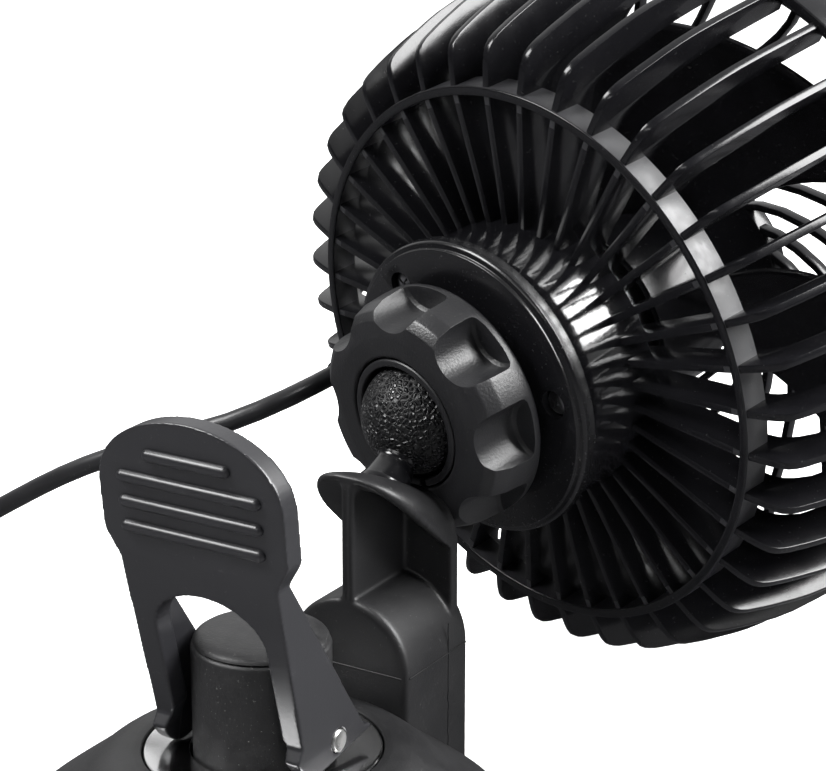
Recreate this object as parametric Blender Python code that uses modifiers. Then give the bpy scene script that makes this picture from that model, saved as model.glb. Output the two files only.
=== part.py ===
"""Suction cup car fan: a caged axial fan on a ball joint, over a cam-lever suction base.

Origin: centre of the suction cup's flat underside, on the surface it stands on.
+Z up, +Y from the base's post towards the fan arm, +X to the right seen from the lever side.
The head's pieces are modelled in a frame of their own: origin at the ball's centre, +Z along
the fan's axis towards its front, +X to the right and +Y down as seen from behind the fan.
"""
import math

import bmesh
import bpy
import numpy as np
from mathutils import Matrix, Vector

# Clearances between pieces
FIT = 0.0003
PIN_PLAY = 0.0003
OVERRUN = 0.0020
MERGE_DISTANCE = 0.00001

# Suction cup, of soft rubber
CUP_RADIUS = 0.0530
CUP_RIM_THICK = 0.0027
CUP_LIP_WIDTH = 0.0110
CUP_CENTRE_THICK = 0.0060
CUP_BOSS_RADIUS = 0.0200
CUP_GROOVE_WIDTH = 0.0024
CUP_GROOVE_DEPTH = 0.0009
CUP_EDGE = 0.0005

# Base housing: a cone with a recess for the thrust washer
DECK_Z = 0.0280
HOUSING_RADIUS = 0.0510
HOUSING_WALL = 0.0026
HOUSING_SKIRT = 0.0045
HOUSING_CREST_RADIUS = 0.0250
CONE_SHARES = ((0.135, 0.039), (0.269, 0.146), (0.423, 0.312), (0.835, 0.712),
               (0.942, 0.854), (1.000, 1.000))
DECK_THICK = 0.0024
GUIDE_WALL = 0.0014
GUIDE_DEPTH = 0.0036
WASHER_RADIUS = 0.0231
WASHER_THICK = 0.0016
WASHER_BORE = 0.0141
WASHER_EDGE = 0.0002

# Post that pulls the cup up, its cap, flange and spring
POST_RADIUS = 0.0135
POST_TOP = 0.0222
POST_EDGE = 0.0007
POST_GUIDE_PLAY = 0.0004
POST_FLANGE_RADIUS = 0.0190
POST_FLANGE_THICK = 0.0030
CAP_RADIUS = 0.0131
CAP_THICK = 0.0018
CAP_SPIGOT_RADIUS = 0.0040
CAP_SPIGOT_LENGTH = 0.0040
SPRING_WIRE_RADIUS = 0.0008
SPRING_RADIUS = 0.0169
SPRING_TURNS = 2.5

# Cam lever and its pin
PIN_RADIUS = 0.0023
PIN_Y = 0.0010
PIN_Z = 0.0048
PIN_PROUD = 0.0004
LEVER_FOOT_HALF = 0.0168
LEVER_NECK_HALF = 0.0177
LEVER_HEAD_HALF = 0.0205
LEVER_SLOT_HALF = 0.0142
LEVER_ARCH_HALF = 0.0124
LEVER_ARCH_TOP = 0.0382
LEVER_ARCH_CURVE = 0.0090
LEVER_THICK = 0.0047
LEVER_NECK_Z = 0.0430
LEVER_FLARE_Z = 0.0480
LEVER_SHOULDER_Z = 0.0590
LEVER_TOP_Z = 0.0715
LEVER_CREASE_Y = 0.0112
LEVER_CREASE_Z = 0.0078
LEVER_FRONT_NECK_Y = 0.0197
LEVER_FRONT_HEAD_Y = 0.0216
LEVER_FRONT_HEAD_Z = 0.0600
LEVER_FRONT_TOP_Y = 0.0224
LEVER_WEB_TOP_Y = 0.0155
LEVER_WEB_TOP_Z = 0.0425
LEVER_HEEL_Y = 0.0122
LEVER_HEEL_TOP_Z = 0.0044
LEVER_HEEL_LOW_Z = 0.0030
LEVER_HEEL_ROUND = 0.0018
LEVER_SWING_DEG = 75.0
CAM_RISE_PER_RADIAN = 0.006875
CAM_SWEEP_DEG = 62.0

# Thumb bars on the lever's head
BAR_COUNT = 4
BAR_PITCH = 0.0051
BAR_FIRST_Z = 0.0503
BAR_HALF = 0.0159
BAR_LAST_HALF = 0.0096
BAR_RADIUS = 0.0010

# Arm: a block, a web, a rear wall and a hood, moulded with the housing
BLOCK_HALF = 0.0142
BLOCK_FRONT = 0.0295
BLOCK_REAR = 0.0535
BLOCK_CENTRE_Z = 0.0056
BLOCK_WALL = 0.0024
BLOCK_ROUND = 0.0014
BLOCK_FOOT_LIFT = 0.0012
REAR_WALL_THICK = 0.0026
REAR_WALL_FACE = 0.0518
WEB_HALF = 0.0014
HOOD_FRONT = 0.0297
HOOD_LENGTH = 0.0199
HOOD_HALF = 0.0127
HOOD_NOSE_Z = 0.0450
HOOD_RIM_DROP = 0.0186
HOOD_CROWN_Z = 0.0458
HOOD_CROWN_FALL = 0.0032
HOOD_CROWN_CURVE = 0.0046
HOOD_THICK = 0.0021
HOOD_START_SHARE = 0.012
HOOD_HOLLOW_END_SHARE = 1.3
HOOD_TRIM_END_SHARE = 1.2
HOOD_SPACING_POWER = 1.7
HOOD_PLAN_POWER = 2.8
HOOD_RISE_POWER = 2.5
HOOD_STATIONS = 6
HOOD_ARCH_STEPS = 8

# Ball and stem
BALL_Y = 0.0572
BALL_Z = 0.0505
BALL_RADIUS = 0.0120
STEM_FOOT_Y = 0.0439
STEM_FOOT_Z = 0.0393
STEM_FOOT_RADIUS = 0.0056
STEM_NECK_RADIUS = 0.0040
STEM_FLARE = 0.0040
STEM_SPIGOT_RADIUS = 0.0027
STEM_SPIGOT_LENGTH = 0.0050
STEM_BOSS_WALL = 0.0020

# Head frame
HEAD_YAW_DEG = 14.3
HEAD_PITCH_DEG = 9.9

# Liner, grip ring, socket and clamp nut: places along the fan's axis from the ball's centre
BALL_PLAY = 0.0007
LINER_THICK = 0.0008
LINER_HALF_DEG = 48.0
LINER_AXIS_DEG = 31.0
GRIP_REAR = -0.0044
GRIP_FRONT = -0.0004
GRIP_RADIUS = 0.0140
GRIP_SPLIT = 0.0016
GRIP_SPLIT_DEG = 75.0
SOCKET_RADIUS = 0.0176
SOCKET_FLANGE_RADIUS = 0.0218
SOCKET_FLANGE_REAR = 0.0162
SOCKET_FLANGE_FRONT = 0.0175
NUT_REAR = -0.0045
NUT_REAR_WALL = 0.0022
NUT_OPENING = 0.0143
NUT_FLAT_RADIUS = 0.0186
NUT_SHOULDER_SHARES = ((0.50, 0.035), (0.78, 0.17), (0.94, 0.45), (1.0, 0.92))
NUT_RADIUS = 0.0255
NUT_RIM_REAR = 0.0074
NUT_FRONT = 0.0094
NUT_EDGE = 0.0005
FLUTE_COUNT = 8
FLUTE_RADIUS = 0.0071
FLUTE_CENTRE = 0.0272
FLUTE_PHASE_DEG = -1.5

# Boss disc and its screws
DISC_RADIUS = 0.0325
DISC_STEP = 0.0014
DISC_REAR = 0.0135
DISC_FRONT = 0.0177
DISC_SCREW_COUNT = 3
DISC_SCREW_CIRCLE = 0.0256
DISC_SCREW_PHASE_DEG = -7.0
DISC_SCREW_SINK = 0.0008
SCREW_HEAD_RADIUS = 0.0027
SCREW_HEAD_HEIGHT = 0.0012
SCREW_SHANK_RADIUS = 0.0012
SCREW_CROSS_LENGTH = 0.0030
SCREW_CROSS_WIDTH = 0.0006
SCREW_CROSS_DEPTH = 0.0007
SCREW_LENGTH = 0.0078

# Rear guard
NECK_RADIUS = 0.0306
NECK_WALL = 0.0022
NECK_FRONT = 0.0385
PLATE_REAR = 0.0180
PLATE_THICK = 0.0032
SEAT_WALL = 0.0020
SEAT_DEPTH = 0.0080
SCREW_BOSS_RADIUS = 0.0032
SCREW_BOSS_DEPTH = 0.0058
RIB_COUNT = 40
RIB_PHASE_DEG = 6.9
RIB_THICK = 0.0017
RIB_REAR = 0.0314
RIB_DEPTH = 0.0084
RIB_BAND = 0.0062
RIB_BEND_SHARES = (0.72, 0.28)
RING_INSET = 0.0184
RING_WALL = 0.0020
RING_DEPTH = 0.0064
CAGE_BULGE_INSET = 0.0072
CAGE_BULGE_Z = 0.0404
CAGE_MID_INSET = 0.0030
CAGE_MID_Z = 0.0580
CAGE_RIM_RADIUS = 0.0787
CAGE_RIM_Z = 0.0900
RIM_WALL = 0.0024
RIM_DEPTH = 0.0085
RIM_LAP = 0.0009
LUG_COUNT = 3
LUG_INSET = 0.0051
LUG_RADIUS = 0.0031
LUG_DEPTH = 0.0100
LUG_PHASE_DEG = 11.4
OUTLET_CIRCLE = 0.0362
OUTLET_ANGLE_DEG = 175.0
OUTLET_RADIUS = 0.0046
OUTLET_REAR = 0.0205
OUTLET_DEPTH = 0.0090
OUTLET_SOCKET_DEPTH = 0.0035
MOTOR_SCREW_COUNT = 2
MOTOR_SCREW_CIRCLE = 0.0085
MOTOR_SCREW_PHASE_DEG = 90.0
MOTOR_SCREW_LENGTH = 0.0058

# Front guard
GRILLE_RIM_WIDTH = 0.0092
GRILLE_DEPTH = 0.0034
GRILLE_RIB_COUNT = 20
GRILLE_RIB_THICK = 0.0016
GRILLE_SWIRL_DEG = 62.0
GRILLE_RIB_POINTS = 2
GRILLE_HUB_RADIUS = 0.0205
GRILLE_HUB_DEPTH = 0.0046
BADGE_RADIUS = 0.0170
BADGE_THICK = 0.0016
BADGE_SINK = 0.0004

# Motor
MOTOR_RADIUS = 0.0175
MOTOR_WALL = 0.0012
CAN_REAR = 0.0238
CAN_FRONT = 0.0620
CAN_NOSE = 0.0028
CAN_NOSE_RADIUS = 0.0056
ENDCAP_PLUG_DEPTH = 0.0042
BUSH_RADIUS = 0.0034
BUSH_LENGTH = 0.0036
SHAFT_RADIUS = 0.0016
SHAFT_FRONT = 0.0770
MAGNET_THICK = 0.0020
MAGNET_LENGTH = 0.0250
MAGNET_HALF_DEG = 66.0
MAGNET_FRONT_GAP = 0.0020
AIR_GAP = 0.0006
ARMATURE_LENGTH = 0.0200
ARMATURE_SLOTS = 5
ARMATURE_SLOT_WIDTH = 0.0022
ARMATURE_SLOT_DEPTH = 0.0060
COMMUTATOR_RADIUS = 0.0042
COMMUTATOR_LENGTH = 0.0050
BRUSH_WIDTH = 0.0030
BRUSH_LENGTH = 0.0052

# Rotor
HUB_RADIUS = 0.0215
HUB_WALL = 0.0018
HUB_REAR = 0.0520
HUB_FRONT = 0.0745
HUB_BOSS_RADIUS = 0.0048
HUB_BOSS_DEPTH = 0.0062
HUB_CAP_RADIUS = 0.0052
HUB_CAP_LENGTH = 0.0040
BLADE_COUNT = 5
BLADE_TIP_INSET = 0.0118
BLADE_THICK = 0.0015
BLADE_ROOT_HEIGHT = 0.0140
BLADE_TIP_HEIGHT = 0.0220
BLADE_CAMBER = 0.0030
BLADE_MID_Z = 0.0670
BLADE_RAKE = 0.0090
BLADE_ROOT_SPAN_DEG = 48.0
BLADE_TIP_SPAN_DEG = 62.0
BLADE_SWEEP_DEG = 18.0
BLADE_PHASE_DEG = 0.0

# Cord and its strain relief on the head
CORD_RADIUS = 0.0021
RELIEF_RADIUS = 0.0032
RELIEF_COLLAR_RADIUS = 0.0042
RELIEF_COLLAR_THICK = 0.0012
RELIEF_TIP = 0.0093
RELIEF_GROOVES = 2
RELIEF_GROOVE_DEPTH = 0.0006

# Cord's route: places in the base's frame, heights above the surface it lies on
ROUTE = (
    (-0.0357, 0.0616, 0.0748),
    (-0.0431, 0.0542, 0.0710),
    (-0.0612, 0.0465, 0.0642),
    (-0.0760, 0.0426, 0.0577),
    (-0.0985, 0.0420, 0.0446),
    (-0.1290, 0.0400, 0.0240),
    (-0.1570, 0.0300, 0.0080),
    (-0.1740, 0.0110, 0.0036),
)

# Coiled length, its tie, and the plug
COIL_X = -0.1500
COIL_Y = -0.0160
COIL_INNER = 0.0184
COIL_PITCH = 0.00468
COIL_LAYERS = 4
COIL_TURNS = 8
COIL_POINTS = 24
COIL_END_DEG = 180.0
TIE_WIDTH = 0.0040
TIE_THICK = 0.0007
TIE_DEG = 20.0
TAIL_LENGTH = 0.0260
PLUG_RADIUS = 0.0104
PLUG_GRIP_RADIUS = 0.0118
PLUG_LENGTH = 0.0420
PLUG_GRIP_LENGTH = 0.0190
PLUG_WALL = 0.0022
PLUG_RELIEF_LENGTH = 0.0170
PLUG_RELIEF_RADIUS = 0.0046
PLUG_RELIEF_TIP_RADIUS = 0.0030
PLUG_NOSE_RADIUS = 0.0090
PLUG_NOSE_LENGTH = 0.0110
PLUG_NOSE_SPIGOT = 0.0040
PLUG_PIN_RADIUS = 0.0026
PLUG_PIN_PROUD = 0.0052
PLUG_PIN_FLANGE = 0.0016
PLUG_BORE = 0.0040
FUSE_RADIUS = 0.0034
FUSE_LENGTH = 0.0190
PLUG_SPRING_WIRE_RADIUS = 0.0003
PLUG_SPRING_TURNS = 3
CONTACT_LENGTH = 0.0160
CONTACT_WIDTH = 0.0044
CONTACT_THICK = 0.0006
CONTACT_BULGE = 0.0018
CONTACT_SEAT_DEPTH = 0.0011

# How finely round pieces are cut
FEW_STEPS = 8
SOME_STEPS = 12
ROUND_STEPS = 18
FINE_STEPS = 28
HOUSING_STEPS = 36
CAGE_STEPS = 40
BALL_ARC_STEPS = 8
CUP_ARC_STEPS = 4
LEVER_CLEAR_STEPS = 8
SPRING_POINTS = 14
BLADE_ROWS = 3
BLADE_COLUMNS = 4
SMOOTH_DEG = 35.0

# Names of the two collections
PARTS = "suction_cup_car_fan"
TOOLS = "cutters"


def clear_scene():
    for obj in list(bpy.data.objects):
        bpy.data.objects.remove(obj, do_unlink=True)
    for name in (PARTS, TOOLS):
        held = bpy.data.collections.new(name)
        bpy.context.scene.collection.children.link(held)


def look(name, colour, roughness, metallic=0.0):
    """A Principled material of this colour, made once."""
    found = bpy.data.materials.get(name)
    if found:
        return found
    made = bpy.data.materials.new(name)
    made.use_nodes = True
    shader = made.node_tree.nodes["Principled BSDF"]
    shader.inputs["Base Color"].default_value = (*colour, 1.0)
    shader.inputs["Roughness"].default_value = roughness
    shader.inputs["Metallic"].default_value = metallic
    return made


def add(name, mesh, parent=None, material=None, tool=False):
    """An object of this mesh, in the parts' or the cutters' collection."""
    obj = bpy.data.objects.new(name, mesh)
    bpy.data.collections[TOOLS if tool else PARTS].objects.link(obj)
    obj.parent = parent
    if material:
        mesh.materials.append(material)
    if tool:
        obj.hide_render = True
        obj.display_type = "WIRE"
    return obj


def axis_empty(name, place, parent=None, turn=(0.0, 0.0, 0.0)):
    """An empty on a joint's axis, which the moving pieces have as their parent."""
    obj = bpy.data.objects.new(name, None)
    bpy.data.collections[PARTS].objects.link(obj)
    obj.parent = parent
    obj.location = place
    obj.rotation_euler = turn
    return obj


def mesh_of(bm, name):
    mesh = bpy.data.meshes.new(name)
    bm.to_mesh(mesh)
    bm.free()
    mesh.shade_smooth()
    mesh.set_sharp_from_angle(angle=math.radians(SMOOTH_DEG))
    return mesh


def turned(name, profile, steps, parent=None, material=None, ring=False, tool=False):
    """A profile of (radius, height), top to bottom on its outer side, turned about Z."""
    bm = bmesh.new()
    corners = [bm.verts.new((radius, 0.0, height)) for radius, height in profile]
    for first, second in zip(corners, corners[1:]):
        bm.edges.new((first, second))
    if ring:
        bm.edges.new((corners[-1], corners[0]))
    mesh = bpy.data.meshes.new(name)
    bm.to_mesh(mesh)
    bm.free()
    obj = add(name, mesh, parent, material, tool)
    screw = obj.modifiers.new("turn", "SCREW")
    screw.axis = "Z"
    screw.angle = math.tau
    screw.steps = steps
    screw.render_steps = steps
    screw.use_merge_vertices = True
    screw.merge_threshold = MERGE_DISTANCE
    screw.use_smooth_shade = True
    return obj


def outline_mesh(name, outlines, depth, plane="XY"):
    """Flat outlines filled and given a thickness, in the XY, XZ or YZ plane, as a mesh."""
    data = bpy.data.curves.new(name, "CURVE")
    data.dimensions = "2D"
    data.fill_mode = "BOTH"
    data.extrude = depth / 2
    for outline in outlines:
        spline = data.splines.new("POLY")
        spline.points.add(len(outline) - 1)
        for point, (across, up) in zip(spline.points, outline):
            point.co = (across, up, 0.0, 1.0)
        spline.use_cyclic_u = True
    curve = bpy.data.objects.new(name, data)
    bpy.context.scene.collection.objects.link(curve)
    bpy.context.view_layer.update()
    graph = bpy.context.evaluated_depsgraph_get()
    mesh = bpy.data.meshes.new_from_object(curve.evaluated_get(graph))
    bpy.data.objects.remove(curve)
    turn = Matrix.Identity(4)
    if plane == "XZ":
        turn = Matrix.Rotation(math.pi / 2, 4, "X")
    if plane == "YZ":
        turn = Matrix.Rotation(math.pi / 2, 4, "Z") @ Matrix.Rotation(math.pi / 2, 4, "X")
    bm = bmesh.new()
    bm.from_mesh(mesh)
    bmesh.ops.remove_doubles(bm, verts=bm.verts, dist=MERGE_DISTANCE)
    bmesh.ops.transform(bm, matrix=turn, verts=bm.verts)
    bmesh.ops.recalc_face_normals(bm, faces=bm.faces)
    bpy.data.meshes.remove(mesh)
    return mesh_of(bm, name)


def moved(mesh, matrix):
    mesh.transform(matrix)
    return mesh


def flat(name, outlines, depth, plane, centre, parent=None, material=None, tool=False):
    """A flat outlined piece, centred at a place across its thickness."""
    mesh = moved(outline_mesh(name, outlines, depth, plane), Matrix.Translation(centre))
    return add(name, mesh, parent, material, tool)


def box(name, low, high, parent=None, material=None, tool=False, turn=None):
    """A box between two corners, turned about the origin where a matrix is given."""
    low, high = Vector(low), Vector(high)
    bm = bmesh.new()
    bmesh.ops.create_cube(bm, size=1.0)
    bmesh.ops.scale(bm, vec=high - low, verts=bm.verts)
    bmesh.ops.translate(bm, vec=(low + high) / 2, verts=bm.verts)
    if turn is not None:
        bmesh.ops.transform(bm, matrix=turn, verts=bm.verts)
    return add(name, mesh_of(bm, name), parent, material, tool)


def rod(name, radius, start, end, steps, parent=None, material=None, tool=False, tip=None):
    """A cylinder or a cone between two points."""
    start, end = Vector(start), Vector(end)
    along = end - start
    bm = bmesh.new()
    bmesh.ops.create_cone(bm, cap_ends=True, segments=steps, radius1=radius,
                          radius2=radius if tip is None else tip, depth=along.length)
    turn = Vector((0, 0, 1)).rotation_difference(along).to_matrix().to_4x4()
    place = Matrix.Translation((start + end) / 2) @ turn
    bmesh.ops.transform(bm, matrix=place, verts=bm.verts)
    return add(name, mesh_of(bm, name), parent, material, tool)


def copies(name, mesh, turns):
    """One mesh that holds a copy of another for each matrix."""
    bm = bmesh.new()
    for turn in turns:
        before = len(bm.verts)
        bm.from_mesh(mesh)
        bm.verts.ensure_lookup_table()
        bmesh.ops.transform(bm, matrix=turn, verts=bm.verts[before:])
    return mesh_of(bm, name)


def around(count, phase_deg=0.0):
    """Turns about Z, evenly spaced."""
    return [Matrix.Rotation(math.radians(phase_deg) + math.tau * k / count, 4, "Z")
            for k in range(count)]


def boolean(obj, tool, operation="DIFFERENCE"):
    change = obj.modifiers.new(tool.name, "BOOLEAN")
    change.operation = operation
    change.solver = "EXACT"
    change.object = tool
    return obj


def tube(name, points, radius, resolution, parent=None, material=None, closed=False):
    """A round tube along points, with filled caps."""
    data = bpy.data.curves.new(name, "CURVE")
    data.dimensions = "3D"
    data.bevel_depth = radius
    data.bevel_resolution = resolution
    data.use_fill_caps = True
    spline = data.splines.new("POLY")
    spline.points.add(len(points) - 1)
    for knot, point in zip(spline.points, points):
        knot.co = (*point, 1.0)
    obj = bpy.data.objects.new(name, data)
    bpy.data.collections[PARTS].objects.link(obj)
    obj.parent = parent
    if material:
        data.materials.append(material)
    return obj


def polar(radius, degrees, height=0.0):
    angle = math.radians(degrees)
    return Vector((radius * math.cos(angle), radius * math.sin(angle), height))


def arc(centre, radii, start_deg, end_deg, steps):
    """Points of an arc or a quarter of an ellipse, both ends included."""
    found = []
    for k in range(steps + 1):
        angle = math.radians(start_deg + (end_deg - start_deg) * k / steps)
        found.append((centre[0] + radii[0] * math.cos(angle),
                      centre[1] + radii[1] * math.sin(angle)))
    return found


def offset_path(path, distance):
    """The path moved sideways to the right of its direction, with mitred corners."""
    found = []
    for k, point in enumerate(path):
        before = Vector(path[max(k - 1, 0)])
        after = Vector(path[min(k + 1, len(path) - 1)])
        here = Vector(point)
        ways = [way.normalized() for way in (here - before, after - here) if way.length]
        normals = [Vector((way.y, -way.x)) for way in ways]
        mean = sum(normals, Vector((0, 0))).normalized()
        found.append(tuple(here + mean * (distance / mean.dot(normals[0]))))
    return found


def smooth_route(route, first_way, last_way, spacing):
    """Evenly spaced points on a smooth curve through the route, with set end directions."""
    route = [np.array(p, float) for p in route]
    chords = [np.linalg.norm(b - a) for a, b in zip(route, route[1:])]
    ways = [np.array(first_way, float)]
    for k in range(1, len(route) - 1):
        way = ((route[k] - route[k - 1]) / chords[k - 1] * chords[k]
               + (route[k + 1] - route[k]) / chords[k] * chords[k - 1])
        ways.append(way / np.linalg.norm(way))
    ways.append(np.array(last_way, float))
    dense = []
    for k, chord in enumerate(chords):
        for t in np.linspace(0, 1, 40, endpoint=False):
            a, b = route[k], route[k + 1]
            da, db = ways[k] * chord, ways[k + 1] * chord
            dense.append((2 * t**3 - 3 * t**2 + 1) * a + (t**3 - 2 * t**2 + t) * da
                         + (3 * t**2 - 2 * t**3) * b + (t**3 - t**2) * db)
    dense.append(route[-1])
    dense = np.array(dense)
    run = np.concatenate([[0], np.cumsum(np.linalg.norm(np.diff(dense, axis=0), axis=1))])
    count = max(3, round(run[-1] / spacing))
    at = np.linspace(0, run[-1], count + 1)
    return np.stack([np.interp(at, run, dense[:, axis]) for axis in range(3)], axis=1)


def least_gap(points, radius, apart):
    """The least distance between a winding's surfaces, on points of it this far apart."""
    step = np.linalg.norm(points[1] - points[0])
    skip = int(apart / step) + 1
    least = math.inf
    for k in range(len(points) - skip):
        least = min(least, np.linalg.norm(points[k + skip:] - points[k], axis=1).min())
    return least - 2 * radius


def make_suction(world, rubber, black, steel):
    """The suction cup, the housing with its arm, the washer and the spring."""
    top = CUP_CENTRE_THICK
    lip = CUP_RADIUS - CUP_LIP_WIDTH
    cup = [(0, top), (CUP_BOSS_RADIUS, top), (CUP_BOSS_RADIUS + CUP_RIM_THICK, CUP_RIM_THICK),
           (CUP_RADIUS - CUP_EDGE, CUP_RIM_THICK), (CUP_RADIUS, CUP_RIM_THICK - CUP_EDGE),
           (CUP_RADIUS, CUP_EDGE), (CUP_RADIUS - CUP_EDGE, 0), (lip, 0),
           (lip - CUP_GROOVE_WIDTH / 2, CUP_GROOVE_DEPTH), (lip - CUP_GROOVE_WIDTH, 0), (0, 0)]
    turned("suction_cup", cup, FINE_STEPS, world, rubber)

    foot = CUP_RIM_THICK + FIT - DECK_Z
    fall = DECK_Z - CUP_RIM_THICK - FIT - HOUSING_SKIRT
    spread = HOUSING_RADIUS - HOUSING_CREST_RADIUS
    outer = [(HOUSING_CREST_RADIUS, 0)]
    outer += [(HOUSING_CREST_RADIUS + spread * out, -fall * down) for out, down in CONE_SHARES]
    outer += [(HOUSING_RADIUS, foot)]
    inner = offset_path(outer, HOUSING_WALL)
    inner[-1] = (HOUSING_RADIUS - HOUSING_WALL, foot)
    recess = WASHER_RADIUS + FIT
    bore = POST_RADIUS + POST_GUIDE_PLAY
    floor = -WASHER_THICK - FIT
    under = floor - DECK_THICK
    profile = [(recess, 0)] + outer + [p for p in inner[:0:-2] if p[1] < under]
    profile += [(bore + GUIDE_WALL, under), (bore + GUIDE_WALL, under - GUIDE_DEPTH),
                (bore, under - GUIDE_DEPTH), (bore, floor), (recess, floor)]
    deck = axis_empty("deck", (0, 0, DECK_Z), world)
    housing = turned("base_housing", profile, HOUSING_STEPS, deck, black, ring=True)
    make_arm(housing, outer, deck, foot)

    washer = [(WASHER_RADIUS - WASHER_EDGE, 0), (WASHER_RADIUS, -WASHER_EDGE),
              (WASHER_RADIUS, -WASHER_THICK), (WASHER_BORE, -WASHER_THICK), (WASHER_BORE, 0)]
    turned("thrust_washer", washer, FINE_STEPS, deck, steel, ring=True)

    low = CUP_CENTRE_THICK + FIT - DECK_Z + POST_FLANGE_THICK + FIT + SPRING_WIRE_RADIUS
    high = under - FIT - SPRING_WIRE_RADIUS
    wound = []
    steps = round(SPRING_TURNS * SPRING_POINTS)
    for k in range(steps + 1):
        share = k / steps
        wound.append(polar(SPRING_RADIUS, 360 * SPRING_TURNS * share, low + (high - low) * share))
    tube("return_spring", wound, SPRING_WIRE_RADIUS, 1, deck, steel)
    return deck


def hood_station(share, grow):
    """Half-width, rim height, crown height and place of one section of the hood."""
    half = HOOD_HALF * (1 - (1 - share) ** HOOD_PLAN_POWER) ** (1 / HOOD_PLAN_POWER)
    rise = (1 - (half / HOOD_HALF) ** HOOD_RISE_POWER) ** (1 / HOOD_RISE_POWER)
    rim = HOOD_NOSE_Z - HOOD_RIM_DROP * (1 - rise)
    crown = HOOD_CROWN_Z - HOOD_CROWN_FALL * share - HOOD_CROWN_CURVE * share**2
    return half + grow, rim, crown + grow


def hood_mesh(name, grow, first, last, drop):
    """A loft of arched sections, each closed straight across below its rim."""
    bm = bmesh.new()
    rows = []
    for k in range(HOOD_STATIONS + 1):
        spaced = (k / HOOD_STATIONS) ** HOOD_SPACING_POWER
        share = first + (last - first) * spaced
        inside = min(max(share, 0), 1)
        half, rim, crown = hood_station(inside, grow)
        row = [(-half, rim - drop)] if drop else []
        for j in range(HOOD_ARCH_STEPS + 1):
            angle = math.pi * j / HOOD_ARCH_STEPS
            across = -math.cos(angle)
            up = abs(math.sin(angle))
            wide = math.copysign(abs(across) ** (2 / HOOD_RISE_POWER), across)
            row.append((half * wide, rim + (crown - rim) * up ** (2 / HOOD_RISE_POWER)))
        row += [(half, rim - drop)] if drop else []
        at = HOOD_FRONT + HOOD_LENGTH * share
        rows.append([bm.verts.new((x, at, z)) for x, z in row])
    for near, far in zip(rows, rows[1:]):
        for j in range(len(near)):
            n = (j + 1) % len(near)
            bm.faces.new((near[j], near[n], far[n], far[j]))
    bm.faces.new(rows[0][::-1])
    bm.faces.new(rows[-1])
    bmesh.ops.triangulate(bm, faces=bm.faces)
    bmesh.ops.recalc_face_normals(bm, faces=bm.faces)
    return mesh_of(bm, name)


def stem_ends():
    ball = Vector((0, BALL_Y, BALL_Z))
    foot = Vector((0, STEM_FOOT_Y, STEM_FOOT_Z))
    return ball, foot, (ball - foot).normalized()


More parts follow.
